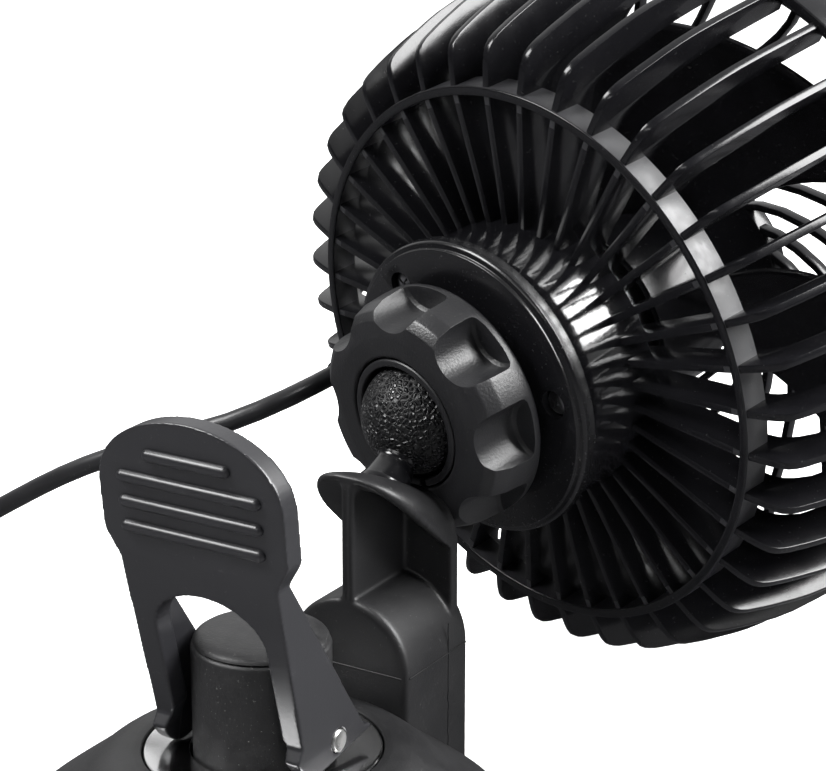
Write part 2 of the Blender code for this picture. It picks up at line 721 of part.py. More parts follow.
def make_arm(housing, outer, deck, foot):
    """Joins the arm to the housing: block, rear wall, hood, web and the stem's boss."""
    middle_line = offset_path(outer, HOUSING_WALL / 2)
    core = [(0, middle_line[0][1])] + middle_line + [(middle_line[-1][0], foot - OVERRUN),
                                                     (0, foot - OVERRUN)]
    core = turned("housing_core", core, HOUSING_STEPS, deck, tool=True)
    block_foot = foot + BLOCK_FOOT_LIFT
    half, centre = BLOCK_HALF, BLOCK_CENTRE_Z
    length = BLOCK_REAR - BLOCK_FRONT
    middle = (0, (BLOCK_REAR + BLOCK_FRONT) / 2, 0)
    arch = [(half, block_foot)] + arc((0, centre), (half, half), 0, 180, SOME_STEPS)
    arch += [(-half, block_foot)]
    block = flat("arm_block", [arch], length, "XZ", middle, deck, tool=True)
    rounding = block.modifiers.new("rounded rims", "BEVEL")
    rounding.width = BLOCK_ROUND
    rounding.segments = 2
    rounding.limit_method = "ANGLE"
    rounding.angle_limit = math.radians(60)
    boolean(block, core)
    boolean(housing, block, "UNION")

    within = half - BLOCK_WALL
    hollow_foot = foot + HOUSING_SKIRT
    hollow = [(within, hollow_foot)] + arc((0, centre), (within, within), 0, 180, SOME_STEPS)
    hollow += [(-within, hollow_foot)]
    depth = length - 2 * BLOCK_WALL
    cavity = flat("arm_cavity", [hollow], depth, "XZ", middle, deck, tool=True)

    last = hood_station(1, 0)
    hood = add("hood_outside", hood_mesh("hood_outside", 0, HOOD_START_SHARE, 1, 0), deck, tool=True)
    start_inside = HOOD_THICK / HOOD_LENGTH
    inside = add("hood_inside", hood_mesh("hood_inside", -HOOD_THICK, start_inside,
                                          HOOD_HOLLOW_END_SHARE, HOOD_RIM_DROP), deck, tool=True)
    ball, base, up = stem_ends()
    boss_radius = STEM_SPIGOT_RADIUS + FIT + STEM_BOSS_WALL
    boss_end = base - up * (STEM_SPIGOT_LENGTH + FIT + HOOD_THICK)
    boss = rod("stem_boss", boss_radius, base - up * HOOD_THICK / 2, boss_end, SOME_STEPS, deck,
               tool=True)
    boolean(hood, inside)

    face = REAR_WALL_FACE
    wide = HOOD_HALF
    wall = [(wide, centre), (wide, last[1])]
    for j in range(1, HOOD_ARCH_STEPS):
        angle = math.pi * j / HOOD_ARCH_STEPS
        across = math.copysign(abs(math.cos(angle)) ** (2 / HOOD_RISE_POWER), math.cos(angle))
        tall = abs(math.sin(angle)) ** (2 / HOOD_RISE_POWER)
        wall.append((wide * across, last[1] + (last[2] - last[1]) * tall))
    wall += [(-wide, last[1]), (-wide, centre)]
    rear = flat("arm_rear_wall", [wall], REAR_WALL_THICK, "XZ", (0, face - REAR_WALL_THICK / 2, 0),
                deck, tool=True)
    web_top = []
    for k in range(HOOD_STATIONS + 1):
        share = k / HOOD_STATIONS
        web_top.append((HOOD_FRONT + HOOD_LENGTH * share,
                        hood_station(share, 0)[2] - HOOD_THICK / 2))
    end_y = face - REAR_WALL_THICK / 2
    low = centre + half - BLOCK_WALL / 2
    web_line = [(HOOD_FRONT, low)] + web_top + [(end_y, web_top[-1][1]), (end_y, low)]
    web = flat("arm_web", [web_line[::-1]], 2 * WEB_HALF, "YZ", (0, 0, 0), deck, tool=True)
    for piece in (rear, web, hood, boss):
        boolean(housing, piece, "UNION")
    boolean(housing, cavity)
    hole = rod("stem_hole", STEM_SPIGOT_RADIUS + FIT, base + up * (OVERRUN + OVERRUN),
               base - up * (STEM_SPIGOT_LENGTH + FIT), SOME_STEPS, deck, tool=True)
    boolean(housing, hole)


def make_stem(deck, black):
    """The ball and its stem, turned as one and trimmed where they meet the hood."""
    ball, base, up = stem_ends()
    reach = (ball - base).length
    neck = math.sqrt(BALL_RADIUS**2 - STEM_NECK_RADIUS**2)
    turns = math.degrees(math.acos(neck / BALL_RADIUS))
    profile = arc((0, reach), (BALL_RADIUS, BALL_RADIUS), 90, turns - 90, BALL_ARC_STEPS)
    profile[0] = (0, reach + BALL_RADIUS)
    flare_z = STEM_FLARE
    profile += [(STEM_NECK_RADIUS + (STEM_FOOT_RADIUS - STEM_NECK_RADIUS) / 4, flare_z),
                (STEM_FOOT_RADIUS, 0), (STEM_FOOT_RADIUS, -flare_z), (0, -flare_z)]
    stem = turned("ball_stem", profile, ROUND_STEPS, deck, black)
    stem.location = base
    stem.rotation_euler = up.to_track_quat("Z", "X").to_euler()
    cover = add("stem_trim", hood_mesh("stem_trim", FIT, HOOD_START_SHARE,
                                       HOOD_TRIM_END_SHARE, HOOD_RIM_DROP),
                deck, tool=True)
    boolean(stem, cover)
    spigot = rod("stem_spigot", STEM_SPIGOT_RADIUS, base + up * flare_z,
                 base - up * STEM_SPIGOT_LENGTH, SOME_STEPS, deck, tool=True)
    boolean(stem, spigot, "UNION")


def make_post(deck, black, steel):
    """The post, its cap and the lever's pin, which rise together."""
    bottom = CUP_CENTRE_THICK + FIT - DECK_Z
    shelf = bottom + POST_FLANGE_THICK
    post_frame = axis_empty("post_axis", (0, 0, 0), deck)
    profile = [(0, POST_TOP), (POST_RADIUS - POST_EDGE, POST_TOP), (POST_RADIUS, POST_TOP - POST_EDGE),
               (POST_RADIUS, shelf), (POST_FLANGE_RADIUS, shelf), (POST_FLANGE_RADIUS, bottom),
               (0, bottom)]
    post = turned("cup_post", profile, ROUND_STEPS, post_frame, black)
    reach = POST_RADIUS + OVERRUN
    boolean(post, rod("pin_hole", PIN_RADIUS + PIN_PLAY, (-reach, PIN_Y, PIN_Z), (reach, PIN_Y, PIN_Z),
                      SOME_STEPS, post_frame, tool=True))
    boolean(post, rod("cap_hole", CAP_SPIGOT_RADIUS + FIT, (0, 0, POST_TOP + OVERRUN),
                      (0, 0, POST_TOP - CAP_SPIGOT_LENGTH - FIT), SOME_STEPS, post_frame, tool=True))
    low = POST_TOP + FIT
    cap = [(0, low + CAP_THICK), (CAP_RADIUS - POST_EDGE, low + CAP_THICK),
           (CAP_RADIUS, low + CAP_THICK - POST_EDGE), (CAP_RADIUS, low), (CAP_SPIGOT_RADIUS, low),
           (CAP_SPIGOT_RADIUS, low - CAP_SPIGOT_LENGTH), (0, low - CAP_SPIGOT_LENGTH)]
    turned("post_cap", cap, ROUND_STEPS, post_frame, black)
    half = LEVER_FOOT_HALF + PIN_PROUD
    rod("pivot_pin", PIN_RADIUS, (-half, PIN_Y, PIN_Z), (half, PIN_Y, PIN_Z), SOME_STEPS,
        post_frame, steel)
    return post_frame


def lever_front():
    """The front line of the lever from its crease to its top, as (y, z)."""
    return [(-LEVER_CREASE_Y, LEVER_CREASE_Z), (-LEVER_FRONT_NECK_Y, LEVER_NECK_Z),
            (-LEVER_FRONT_HEAD_Y, LEVER_FRONT_HEAD_Z), (-LEVER_FRONT_TOP_Y, LEVER_TOP_Z)]


def front_at(height):
    line = lever_front()
    return np.interp(height, [z for _, z in line], [y for y, _ in line])


def make_lever(post_frame, black):
    """The cam lever: its side outline and front outline crossed, then hollowed."""
    pin = axis_empty("pin_axis", (0, PIN_Y, PIN_Z), post_frame)
    home = axis_empty("lever_frame", (0, -PIN_Y, -PIN_Z), pin)
    lift = PIN_Z - FIT
    cam = []
    for k in range(FEW_STEPS + 1):
        turn = math.radians(CAM_SWEEP_DEG) * k / FEW_STEPS
        reach = lift + CAM_RISE_PER_RADIAN * turn
        cam.append((PIN_Y - reach * math.sin(turn) - CAM_RISE_PER_RADIAN * math.cos(turn),
                    PIN_Z - reach * math.cos(turn) + CAM_RISE_PER_RADIAN * math.sin(turn)))
    front = lever_front()
    back = offset_path(front, LEVER_THICK)
    heel = LEVER_HEEL_ROUND
    side = front[:] + [back[-1]] + [back[-2], (-LEVER_WEB_TOP_Y, LEVER_WEB_TOP_Z),
                                    (LEVER_HEEL_Y - heel, LEVER_HEEL_TOP_Z),
                                    (LEVER_HEEL_Y, LEVER_HEEL_LOW_Z + heel / 2),
                                    (LEVER_HEEL_Y - heel, LEVER_HEEL_LOW_Z)]
    side += cam
    lever = flat("cam_lever", [side[::-1]], 2 * LEVER_HEAD_HALF + OVERRUN, "YZ", (0, 0, 0), home, black)

    right = [(LEVER_FOOT_HALF, -OVERRUN), (LEVER_NECK_HALF, LEVER_NECK_Z)]
    for k in range(1, 4):
        share = k / 4
        ease = share * share * (3 - 2 * share)
        right.append((LEVER_NECK_HALF + (LEVER_HEAD_HALF - LEVER_NECK_HALF) * ease,
                      LEVER_NECK_Z + (LEVER_FLARE_Z - LEVER_NECK_Z) * share))
    right.append((LEVER_HEAD_HALF, LEVER_FLARE_Z))
    right += arc((0, LEVER_SHOULDER_Z), (LEVER_HEAD_HALF, LEVER_TOP_Z - LEVER_SHOULDER_Z),
                 0, 90, FEW_STEPS)
    left = [(-x, z) for x, z in right[-2::-1]]
    deep = LEVER_FRONT_TOP_Y + LEVER_HEEL_Y + OVERRUN
    shape = flat("lever_front_outline", [right + left], 2 * deep, "XZ", (0, 0, 0), home, tool=True)
    boolean(lever, shape, "INTERSECT")

    behind = LEVER_HEEL_Y + OVERRUN
    slot = [back[0], back[1], (behind, back[1][1]), (behind, -OVERRUN),
            (back[0][0] - LEVER_THICK / 4, -OVERRUN)]
    hollow = flat("lever_hollow", [slot[::-1]], 2 * LEVER_SLOT_HALF, "YZ", (0, 0, 0), home, tool=True)
    boolean(lever, hollow)
    spring_line = LEVER_ARCH_TOP - LEVER_ARCH_CURVE
    arch = [(LEVER_ARCH_HALF, -OVERRUN)]
    arch += arc((0, spring_line), (LEVER_ARCH_HALF, LEVER_ARCH_CURVE), 0, 180, SOME_STEPS)
    arch += [(-LEVER_ARCH_HALF, -OVERRUN)]
    gate = flat("lever_arch", [arch], 2 * deep, "XZ", (0, 0, 0), home, tool=True)
    boolean(lever, gate)
    high, low = Vector((0, -PIN_Y, POST_TOP - PIN_Z)), Vector((0, -PIN_Y, -PIN_Z - POST_TOP))
    pin_place = Vector((0, PIN_Y, PIN_Z))
    for k in range(1, LEVER_CLEAR_STEPS + 1):
        back_turn = Matrix.Rotation(-math.radians(LEVER_SWING_DEG) * k / LEVER_CLEAR_STEPS, 3, "X")
        boolean(lever, rod(f"post_swept_{k}", POST_RADIUS + FIT, pin_place + back_turn @ high,
                           pin_place + back_turn @ low, FINE_STEPS, home, tool=True))
    reach = LEVER_HEAD_HALF + OVERRUN
    boolean(lever, rod("lever_pin_hole", PIN_RADIUS + PIN_PLAY, (-reach, PIN_Y, PIN_Z),
                       (reach, PIN_Y, PIN_Z), SOME_STEPS, home, tool=True))
    for k in range(BAR_COUNT):
        height = BAR_FIRST_Z + BAR_PITCH * k
        half = BAR_LAST_HALF if k == BAR_COUNT - 1 else BAR_HALF
        shape = [(0, half), (BAR_RADIUS / 2, half), (BAR_RADIUS, half - BAR_RADIUS),
                 (BAR_RADIUS, BAR_RADIUS - half), (BAR_RADIUS / 2, -half), (0, -half)]
        bar = turned(f"thumb_bar_{k + 1}", shape, FEW_STEPS, home, tool=True)
        bar.rotation_euler = (0, math.pi / 2, 0)
        bar.location = (0, front_at(height), height)
        boolean(lever, bar, "UNION")


def screw_piece(name, place, parent, material, facing_rear, length, crossed=True):
    """A pan-head screw, its head towards the rear or the front, with a cross recess if it shows."""
    edge = SCREW_HEAD_HEIGHT / 3
    profile = [(0, 0), (SCREW_HEAD_RADIUS - edge, 0), (SCREW_HEAD_RADIUS, -edge),
               (SCREW_HEAD_RADIUS, -SCREW_HEAD_HEIGHT), (SCREW_SHANK_RADIUS, -SCREW_HEAD_HEIGHT),
               (SCREW_SHANK_RADIUS, SCREW_SHANK_RADIUS - length), (0, -length)]
    obj = turned(name, profile, FEW_STEPS, parent, material)
    obj.location = place
    if facing_rear:
        obj.rotation_euler = (math.pi, 0, 0)
    if not crossed:
        return obj
    half, wide = SCREW_CROSS_LENGTH / 2, SCREW_CROSS_WIDTH / 2
    low, high = -SCREW_CROSS_DEPTH, SCREW_CROSS_DEPTH
    for way, (across, along) in (("a", (half, wide)), ("b", (wide, half))):
        cut = box(f"{name}_cross_{way}", (-across, -along, low), (across, along, high), obj, tool=True)
        boolean(obj, cut)
    return obj


def make_ball_joint(head, black, grey):
    """The liner, the split grip ring, the socket and the clamp nut round the ball."""
    near = BALL_RADIUS + BALL_PLAY
    far = near + LINER_THICK
    half = LINER_HALF_DEG
    profile = arc((0, 0), (far, far), 90, 90 - half, CUP_ARC_STEPS)
    profile[0] = (0, far)
    profile += arc((0, 0), (near, near), 90 - half, 90, CUP_ARC_STEPS)
    profile[-1] = (0, near)
    liner = turned("ball_liner", profile, ROUND_STEPS, head, grey)
    liner.rotation_euler = (math.radians(LINER_AXIS_DEG), 0, 0)

    inner = []
    clear = BALL_RADIUS + FIT
    for k in range(3):
        along = GRIP_REAR + (GRIP_FRONT - GRIP_REAR) * k / 2
        inner.append((math.sqrt(clear**2 - along**2), along))
    ring = [(GRIP_RADIUS, GRIP_FRONT), (GRIP_RADIUS, GRIP_REAR)] + inner
    grip = turned("grip_ring", ring, FINE_STEPS, head, grey, ring=True)
    split = Matrix.Rotation(math.radians(GRIP_SPLIT_DEG), 4, "Z")
    boolean(grip, box("grip_split", (0, -GRIP_SPLIT / 2, GRIP_REAR - OVERRUN),
                      (GRIP_RADIUS + OVERRUN, GRIP_SPLIT / 2, GRIP_FRONT + OVERRUN),
                      head, tool=True, turn=split))

    hollow = far + BALL_PLAY
    rear = GRIP_FRONT + FIT
    start = math.degrees(math.asin(rear / hollow))
    socket = [(0, SOCKET_FLANGE_FRONT), (SOCKET_FLANGE_RADIUS, SOCKET_FLANGE_FRONT),
              (SOCKET_FLANGE_RADIUS, SOCKET_FLANGE_REAR), (SOCKET_RADIUS, SOCKET_FLANGE_REAR),
              (SOCKET_RADIUS, rear)]
    cup = arc((0, 0), (hollow, hollow), start, 90, CUP_ARC_STEPS)
    cup[-1] = (0, hollow)
    turned("ball_socket", socket + cup, ROUND_STEPS, head, grey)

    bore = SOCKET_RADIUS + FIT
    inside_rear = NUT_REAR + NUT_REAR_WALL
    rise = NUT_RIM_REAR - NUT_REAR
    swell = NUT_RADIUS - NUT_FLAT_RADIUS
    shoulder = [(NUT_FLAT_RADIUS + swell * out, NUT_REAR + rise * up)
                for out, up in NUT_SHOULDER_SHARES]
    edge = NUT_EDGE
    nut = [(NUT_RADIUS - edge, NUT_FRONT), (NUT_RADIUS, NUT_FRONT - edge)] + shoulder[::-1]
    nut += [(NUT_FLAT_RADIUS, NUT_REAR), (NUT_OPENING + edge, NUT_REAR), (NUT_OPENING, NUT_REAR + edge),
            (NUT_OPENING, inside_rear), (bore, inside_rear), (bore, NUT_FRONT)]
    clamp = turned("clamp_nut", nut, FINE_STEPS, head, black, ring=True)
    flute = outline_mesh("flute", [arc((FLUTE_CENTRE, 0), (FLUTE_RADIUS, FLUTE_RADIUS), 0,
                                       360 - 360 / SOME_STEPS, SOME_STEPS - 1)],
                         NUT_RIM_REAR - NUT_REAR + OVERRUN)
    flute.transform(Matrix.Translation((0, 0, (NUT_RIM_REAR + NUT_REAR - OVERRUN) / 2)))
    flutes = add("flutes", copies("flutes", flute, around(FLUTE_COUNT, FLUTE_PHASE_DEG)), head, tool=True)
    boolean(clamp, flutes)


def disc_screw_places():
    return [polar(DISC_SCREW_CIRCLE, DISC_SCREW_PHASE_DEG + 360 * k / DISC_SCREW_COUNT)
            for k in range(DISC_SCREW_COUNT)]


def make_disc(head, black, steel):
    """The boss disc behind the neck, which traps the socket's flange, and its screws."""
    step = DISC_STEP
    throat = SOCKET_RADIUS + FIT
    trap = SOCKET_FLANGE_RADIUS + FIT
    shelf = SOCKET_FLANGE_REAR - FIT
    profile = [(DISC_RADIUS, DISC_FRONT), (DISC_RADIUS, DISC_REAR + step),
               (DISC_RADIUS - step, DISC_REAR + step / 2), (DISC_RADIUS - step, DISC_REAR),
               (throat, DISC_REAR), (throat, shelf), (trap, shelf), (trap, DISC_FRONT)]
    disc = turned("socket_plate", profile, FINE_STEPS, head, black, ring=True)
    top = DISC_REAR + DISC_SCREW_SINK
    seat = top + SCREW_HEAD_HEIGHT + FIT
    for k, place in enumerate(disc_screw_places()):
        boolean(disc, rod(f"disc_well_{k + 1}", SCREW_HEAD_RADIUS + FIT,
                          place + Vector((0, 0, DISC_REAR - OVERRUN)), place + Vector((0, 0, seat)),
                          SOME_STEPS, head, tool=True))
        boolean(disc, rod(f"disc_hole_{k + 1}", SCREW_SHANK_RADIUS + FIT,
                          place + Vector((0, 0, DISC_REAR)),
                          place + Vector((0, 0, DISC_FRONT + OVERRUN)), SOME_STEPS, head, tool=True))
        screw_piece(f"disc_screw_{k + 1}", place + Vector((0, 0, top)), head, steel, True, SCREW_LENGTH)


def rib_outline():
    """One rib of the rear guard: radius across, place along the axis up."""
    start = NECK_RADIUS - NECK_WALL / 2
    rim_end = CAGE_RIM_Z - RIM_DEPTH / 2
    out, up = RIB_BEND_SHARES
    ring, bulge = CAGE_RIM_RADIUS - RING_INSET, CAGE_RIM_RADIUS - CAGE_BULGE_INSET
    swell, climb = bulge - ring, CAGE_BULGE_Z - RIB_REAR
    rim_side = CAGE_RIM_RADIUS - RIM_LAP
    outer = [(start, RIB_REAR), (ring, RIB_REAR), (ring + swell * out, RIB_REAR + climb * up),
             (bulge, CAGE_BULGE_Z), (CAGE_RIM_RADIUS - CAGE_MID_INSET, CAGE_MID_Z),
             (rim_side, rim_end)]
    inner_z = RIB_REAR + RIB_DEPTH
    inner = [(rim_side - RIB_BAND, rim_end),
             (bulge - RIB_BAND, CAGE_BULGE_Z + RIB_BAND),
             (ring - RING_WALL, inner_z), (start, inner_z)]
    return outer + inner


def lug_places():
    circle = CAGE_RIM_RADIUS - LUG_INSET
    return [polar(circle, LUG_PHASE_DEG + 360 * k / LUG_COUNT) for k in range(LUG_COUNT)]


def make_rear_guard(head, black):
    """The neck with its back plate and motor seat, the ring, the rim, ribs, lugs and outlet."""
    seat = MOTOR_RADIUS + FIT
    plate_front = PLATE_REAR + PLATE_THICK
    shell = [(0, plate_front), (seat, plate_front), (seat, plate_front + SEAT_DEPTH),
             (seat + SEAT_WALL, plate_front + SEAT_DEPTH), (seat + SEAT_WALL, plate_front),
             (NECK_RADIUS - NECK_WALL, plate_front), (NECK_RADIUS - NECK_WALL, NECK_FRONT),
             (NECK_RADIUS, NECK_FRONT), (NECK_RADIUS, PLATE_REAR), (0, PLATE_REAR)]
    guard = turned("rear_guard", shell, CAGE_STEPS, head, black)
    ring_front = RIB_REAR + RING_DEPTH
    ring_rear = RIB_REAR - RIM_LAP / 2
    ring = CAGE_RIM_RADIUS - RING_INSET
    band = turned("guard_ring", [(ring, ring_front), (ring, ring_rear),
                                 (ring - RING_WALL, ring_rear), (ring - RING_WALL, ring_front)],
                  CAGE_STEPS, head, ring=True, tool=True)
    rim_rear = CAGE_RIM_Z - RIM_DEPTH
    rim = turned("guard_rim", [(CAGE_RIM_RADIUS, CAGE_RIM_Z), (CAGE_RIM_RADIUS, rim_rear),
                               (CAGE_RIM_RADIUS - RIM_WALL, rim_rear),
                               (CAGE_RIM_RADIUS - RIM_WALL, CAGE_RIM_Z)],
                 CAGE_STEPS, head, ring=True, tool=True)
    rib = outline_mesh("rib", [rib_outline()], RIB_THICK, "XZ")
    ribs = add("guard_ribs", copies("guard_ribs", rib, around(RIB_COUNT, RIB_PHASE_DEG)), head, tool=True)
    for piece in (band, rim, ribs):
        boolean(guard, piece, "UNION")

    for k, place in enumerate(lug_places()):
        lug_front = CAGE_RIM_Z - FIT
        boolean(guard, rod(f"guard_lug_{k + 1}", LUG_RADIUS,
                           place + Vector((0, 0, CAGE_RIM_Z - LUG_DEPTH)),
                           place + Vector((0, 0, lug_front)), SOME_STEPS, head, tool=True), "UNION")
        boolean(guard, rod(f"lug_hole_{k + 1}", SCREW_SHANK_RADIUS + FIT,
                           place + Vector((0, 0, CAGE_RIM_Z - LUG_DEPTH + LUG_RADIUS / 2)),
                           place + Vector((0, 0, CAGE_RIM_Z + OVERRUN)), FEW_STEPS, head, tool=True))
    for k, place in enumerate(disc_screw_places()):
        end = PLATE_REAR + SCREW_BOSS_DEPTH
        boolean(guard, rod(f"plate_boss_{k + 1}", SCREW_BOSS_RADIUS,
                           place + Vector((0, 0, PLATE_REAR + PLATE_THICK / 2)),
                           place + Vector((0, 0, end)), SOME_STEPS, head, tool=True), "UNION")
        boolean(guard, rod(f"plate_hole_{k + 1}", SCREW_SHANK_RADIUS + FIT,
                           place + Vector((0, 0, PLATE_REAR - OVERRUN)),
                           place + Vector((0, 0, end - SCREW_SHANK_RADIUS)), FEW_STEPS, head, tool=True))
    for k, place in enumerate(motor_screw_places()):
        sunk = PLATE_REAR + FIT + SCREW_HEAD_HEIGHT + FIT
        boolean(guard, rod(f"motor_well_{k + 1}", SCREW_HEAD_RADIUS + FIT,
                           place + Vector((0, 0, PLATE_REAR - OVERRUN)),
                           place + Vector((0, 0, sunk)), SOME_STEPS, head, tool=True))
        boolean(guard, rod(f"motor_hole_{k + 1}", SCREW_SHANK_RADIUS + FIT,
                           place + Vector((0, 0, PLATE_REAR)),
                           place + Vector((0, 0, plate_front + OVERRUN)), FEW_STEPS, head, tool=True))

    place = polar(OUTLET_CIRCLE, OUTLET_ANGLE_DEG)
    wall = NECK_RADIUS - NECK_WALL / 2
    boolean(guard, rod("outlet_boss", OUTLET_RADIUS, place + Vector((0, 0, OUTLET_REAR)),
                       place + Vector((0, 0, OUTLET_REAR + OUTLET_DEPTH)), SOME_STEPS, head,
                       tool=True), "UNION")
    aim = Matrix.Rotation(math.radians(OUTLET_ANGLE_DEG), 4, "Z")
    boolean(guard, box("outlet_bridge", (wall, -OUTLET_RADIUS / 2, OUTLET_REAR + RIB_THICK),
                       (OUTLET_CIRCLE - RELIEF_RADIUS, OUTLET_RADIUS / 2,
                        OUTLET_REAR + OUTLET_DEPTH - RIB_THICK), head, tool=True, turn=aim), "UNION")
    boolean(guard, rod("outlet_hole", RELIEF_RADIUS + FIT, place + Vector((0, 0, OUTLET_REAR - OVERRUN)),
                       place + Vector((0, 0, OUTLET_REAR + OUTLET_SOCKET_DEPTH + FIT)), SOME_STEPS,
                       head, tool=True))


def motor_screw_places():
    return [polar(MOTOR_SCREW_CIRCLE, MOTOR_SCREW_PHASE_DEG + 360 * k / MOTOR_SCREW_COUNT)
            for k in range(MOTOR_SCREW_COUNT)]


def make_relief(head, rubber):
    """The cord's strain relief, seated in the outlet beside the neck."""
    grooves = []
    body = OUTLET_REAR - FIT - RELIEF_COLLAR_THICK
    reach = body - RELIEF_TIP
    pitch = reach / (RELIEF_GROOVES + 1)
    for k in range(RELIEF_GROOVES):
        at = body - pitch * (k + 1)
        share = (body - at) / reach
        radius = RELIEF_RADIUS - (RELIEF_RADIUS - CORD_RADIUS) / 2 * share
        for lift, cut in ((pitch / 3, 0), (pitch / 5, RELIEF_GROOVE_DEPTH),
                          (-pitch / 5, RELIEF_GROOVE_DEPTH), (-pitch / 3, 0)):
            grooves.append((radius - cut, at + lift))
    front = OUTLET_REAR + OUTLET_SOCKET_DEPTH
    collar = OUTLET_REAR - FIT
    tip = (RELIEF_RADIUS + CORD_RADIUS) / 2
    profile = [(0, front), (RELIEF_RADIUS, front), (RELIEF_RADIUS, collar),
               (RELIEF_COLLAR_RADIUS, collar), (RELIEF_COLLAR_RADIUS, body), (RELIEF_RADIUS, body)]
    profile += grooves + [(tip, RELIEF_TIP), (0, RELIEF_TIP)]
    obj = turned("cord_relief", profile, FEW_STEPS, head, rubber)
    obj.location = polar(OUTLET_CIRCLE, OUTLET_ANGLE_DEG)


def make_front_guard(head, black, steel):
    """The front guard: rim, hub and swirled ribs, with its badge and screws."""
    rear = CAGE_RIM_Z + FIT
    front = rear + GRILLE_DEPTH
    inner = CAGE_RIM_RADIUS - GRILLE_RIM_WIDTH
    guard = turned("front_guard", [(CAGE_RIM_RADIUS - NUT_EDGE, front), (CAGE_RIM_RADIUS, front - NUT_EDGE),
                                   (CAGE_RIM_RADIUS, rear), (inner, rear), (inner, front)],
                   CAGE_STEPS, head, black, ring=True)
    sink = BADGE_THICK + FIT - BADGE_SINK
    hub_front = rear + GRILLE_HUB_DEPTH
    hub = turned("grille_hub", [(0, hub_front - sink), (BADGE_RADIUS + FIT, hub_front - sink),
                                (BADGE_RADIUS + FIT, hub_front), (GRILLE_HUB_RADIUS, hub_front),
                                (GRILLE_HUB_RADIUS, rear), (0, rear)], GRILLE_RIB_COUNT, head, tool=True)
    start = GRILLE_HUB_RADIUS - GRILLE_RIB_THICK
    end = inner + GRILLE_RIB_THICK
    line = []
    for k in range(GRILLE_RIB_POINTS + 1):
        share = k / GRILLE_RIB_POINTS
        line.append(tuple(polar(start + (end - start) * share,
                                GRILLE_SWIRL_DEG * (1 - (1 - share) ** 2))[:2]))
    half = GRILLE_RIB_THICK / 2
    outline = offset_path(line, half) + offset_path(line, -half)[::-1]
    rib = outline_mesh("grille_rib", [outline], GRILLE_DEPTH - GRILLE_RIB_THICK / 2)
    rib.transform(Matrix.Translation((0, 0, (rear + front) / 2)))
    ribs = add("grille_ribs", copies("grille_ribs", rib, around(GRILLE_RIB_COUNT)), head, tool=True)
    for piece in (hub, ribs):
        boolean(guard, piece, "UNION")
    for k, place in enumerate(lug_places()):
        boolean(guard, rod(f"grille_hole_{k + 1}", SCREW_SHANK_RADIUS + FIT,
                           place + Vector((0, 0, rear - OVERRUN)), place + Vector((0, 0, front + OVERRUN)),
                           FEW_STEPS, head, tool=True))
        screw_piece(f"guard_screw_{k + 1}", place + Vector((0, 0, front + FIT + SCREW_HEAD_HEIGHT)),
                    head, steel, False, SCREW_LENGTH + SCREW_HEAD_HEIGHT, crossed=False)
    low = hub_front - sink + FIT
    badge = [(0, low + BADGE_THICK), (BADGE_RADIUS - NUT_EDGE, low + BADGE_THICK),
             (BADGE_RADIUS, low + BADGE_THICK - NUT_EDGE), (BADGE_RADIUS, low), (0, low)]
    turned("guard_badge", badge, GRILLE_RIB_COUNT, head, black)


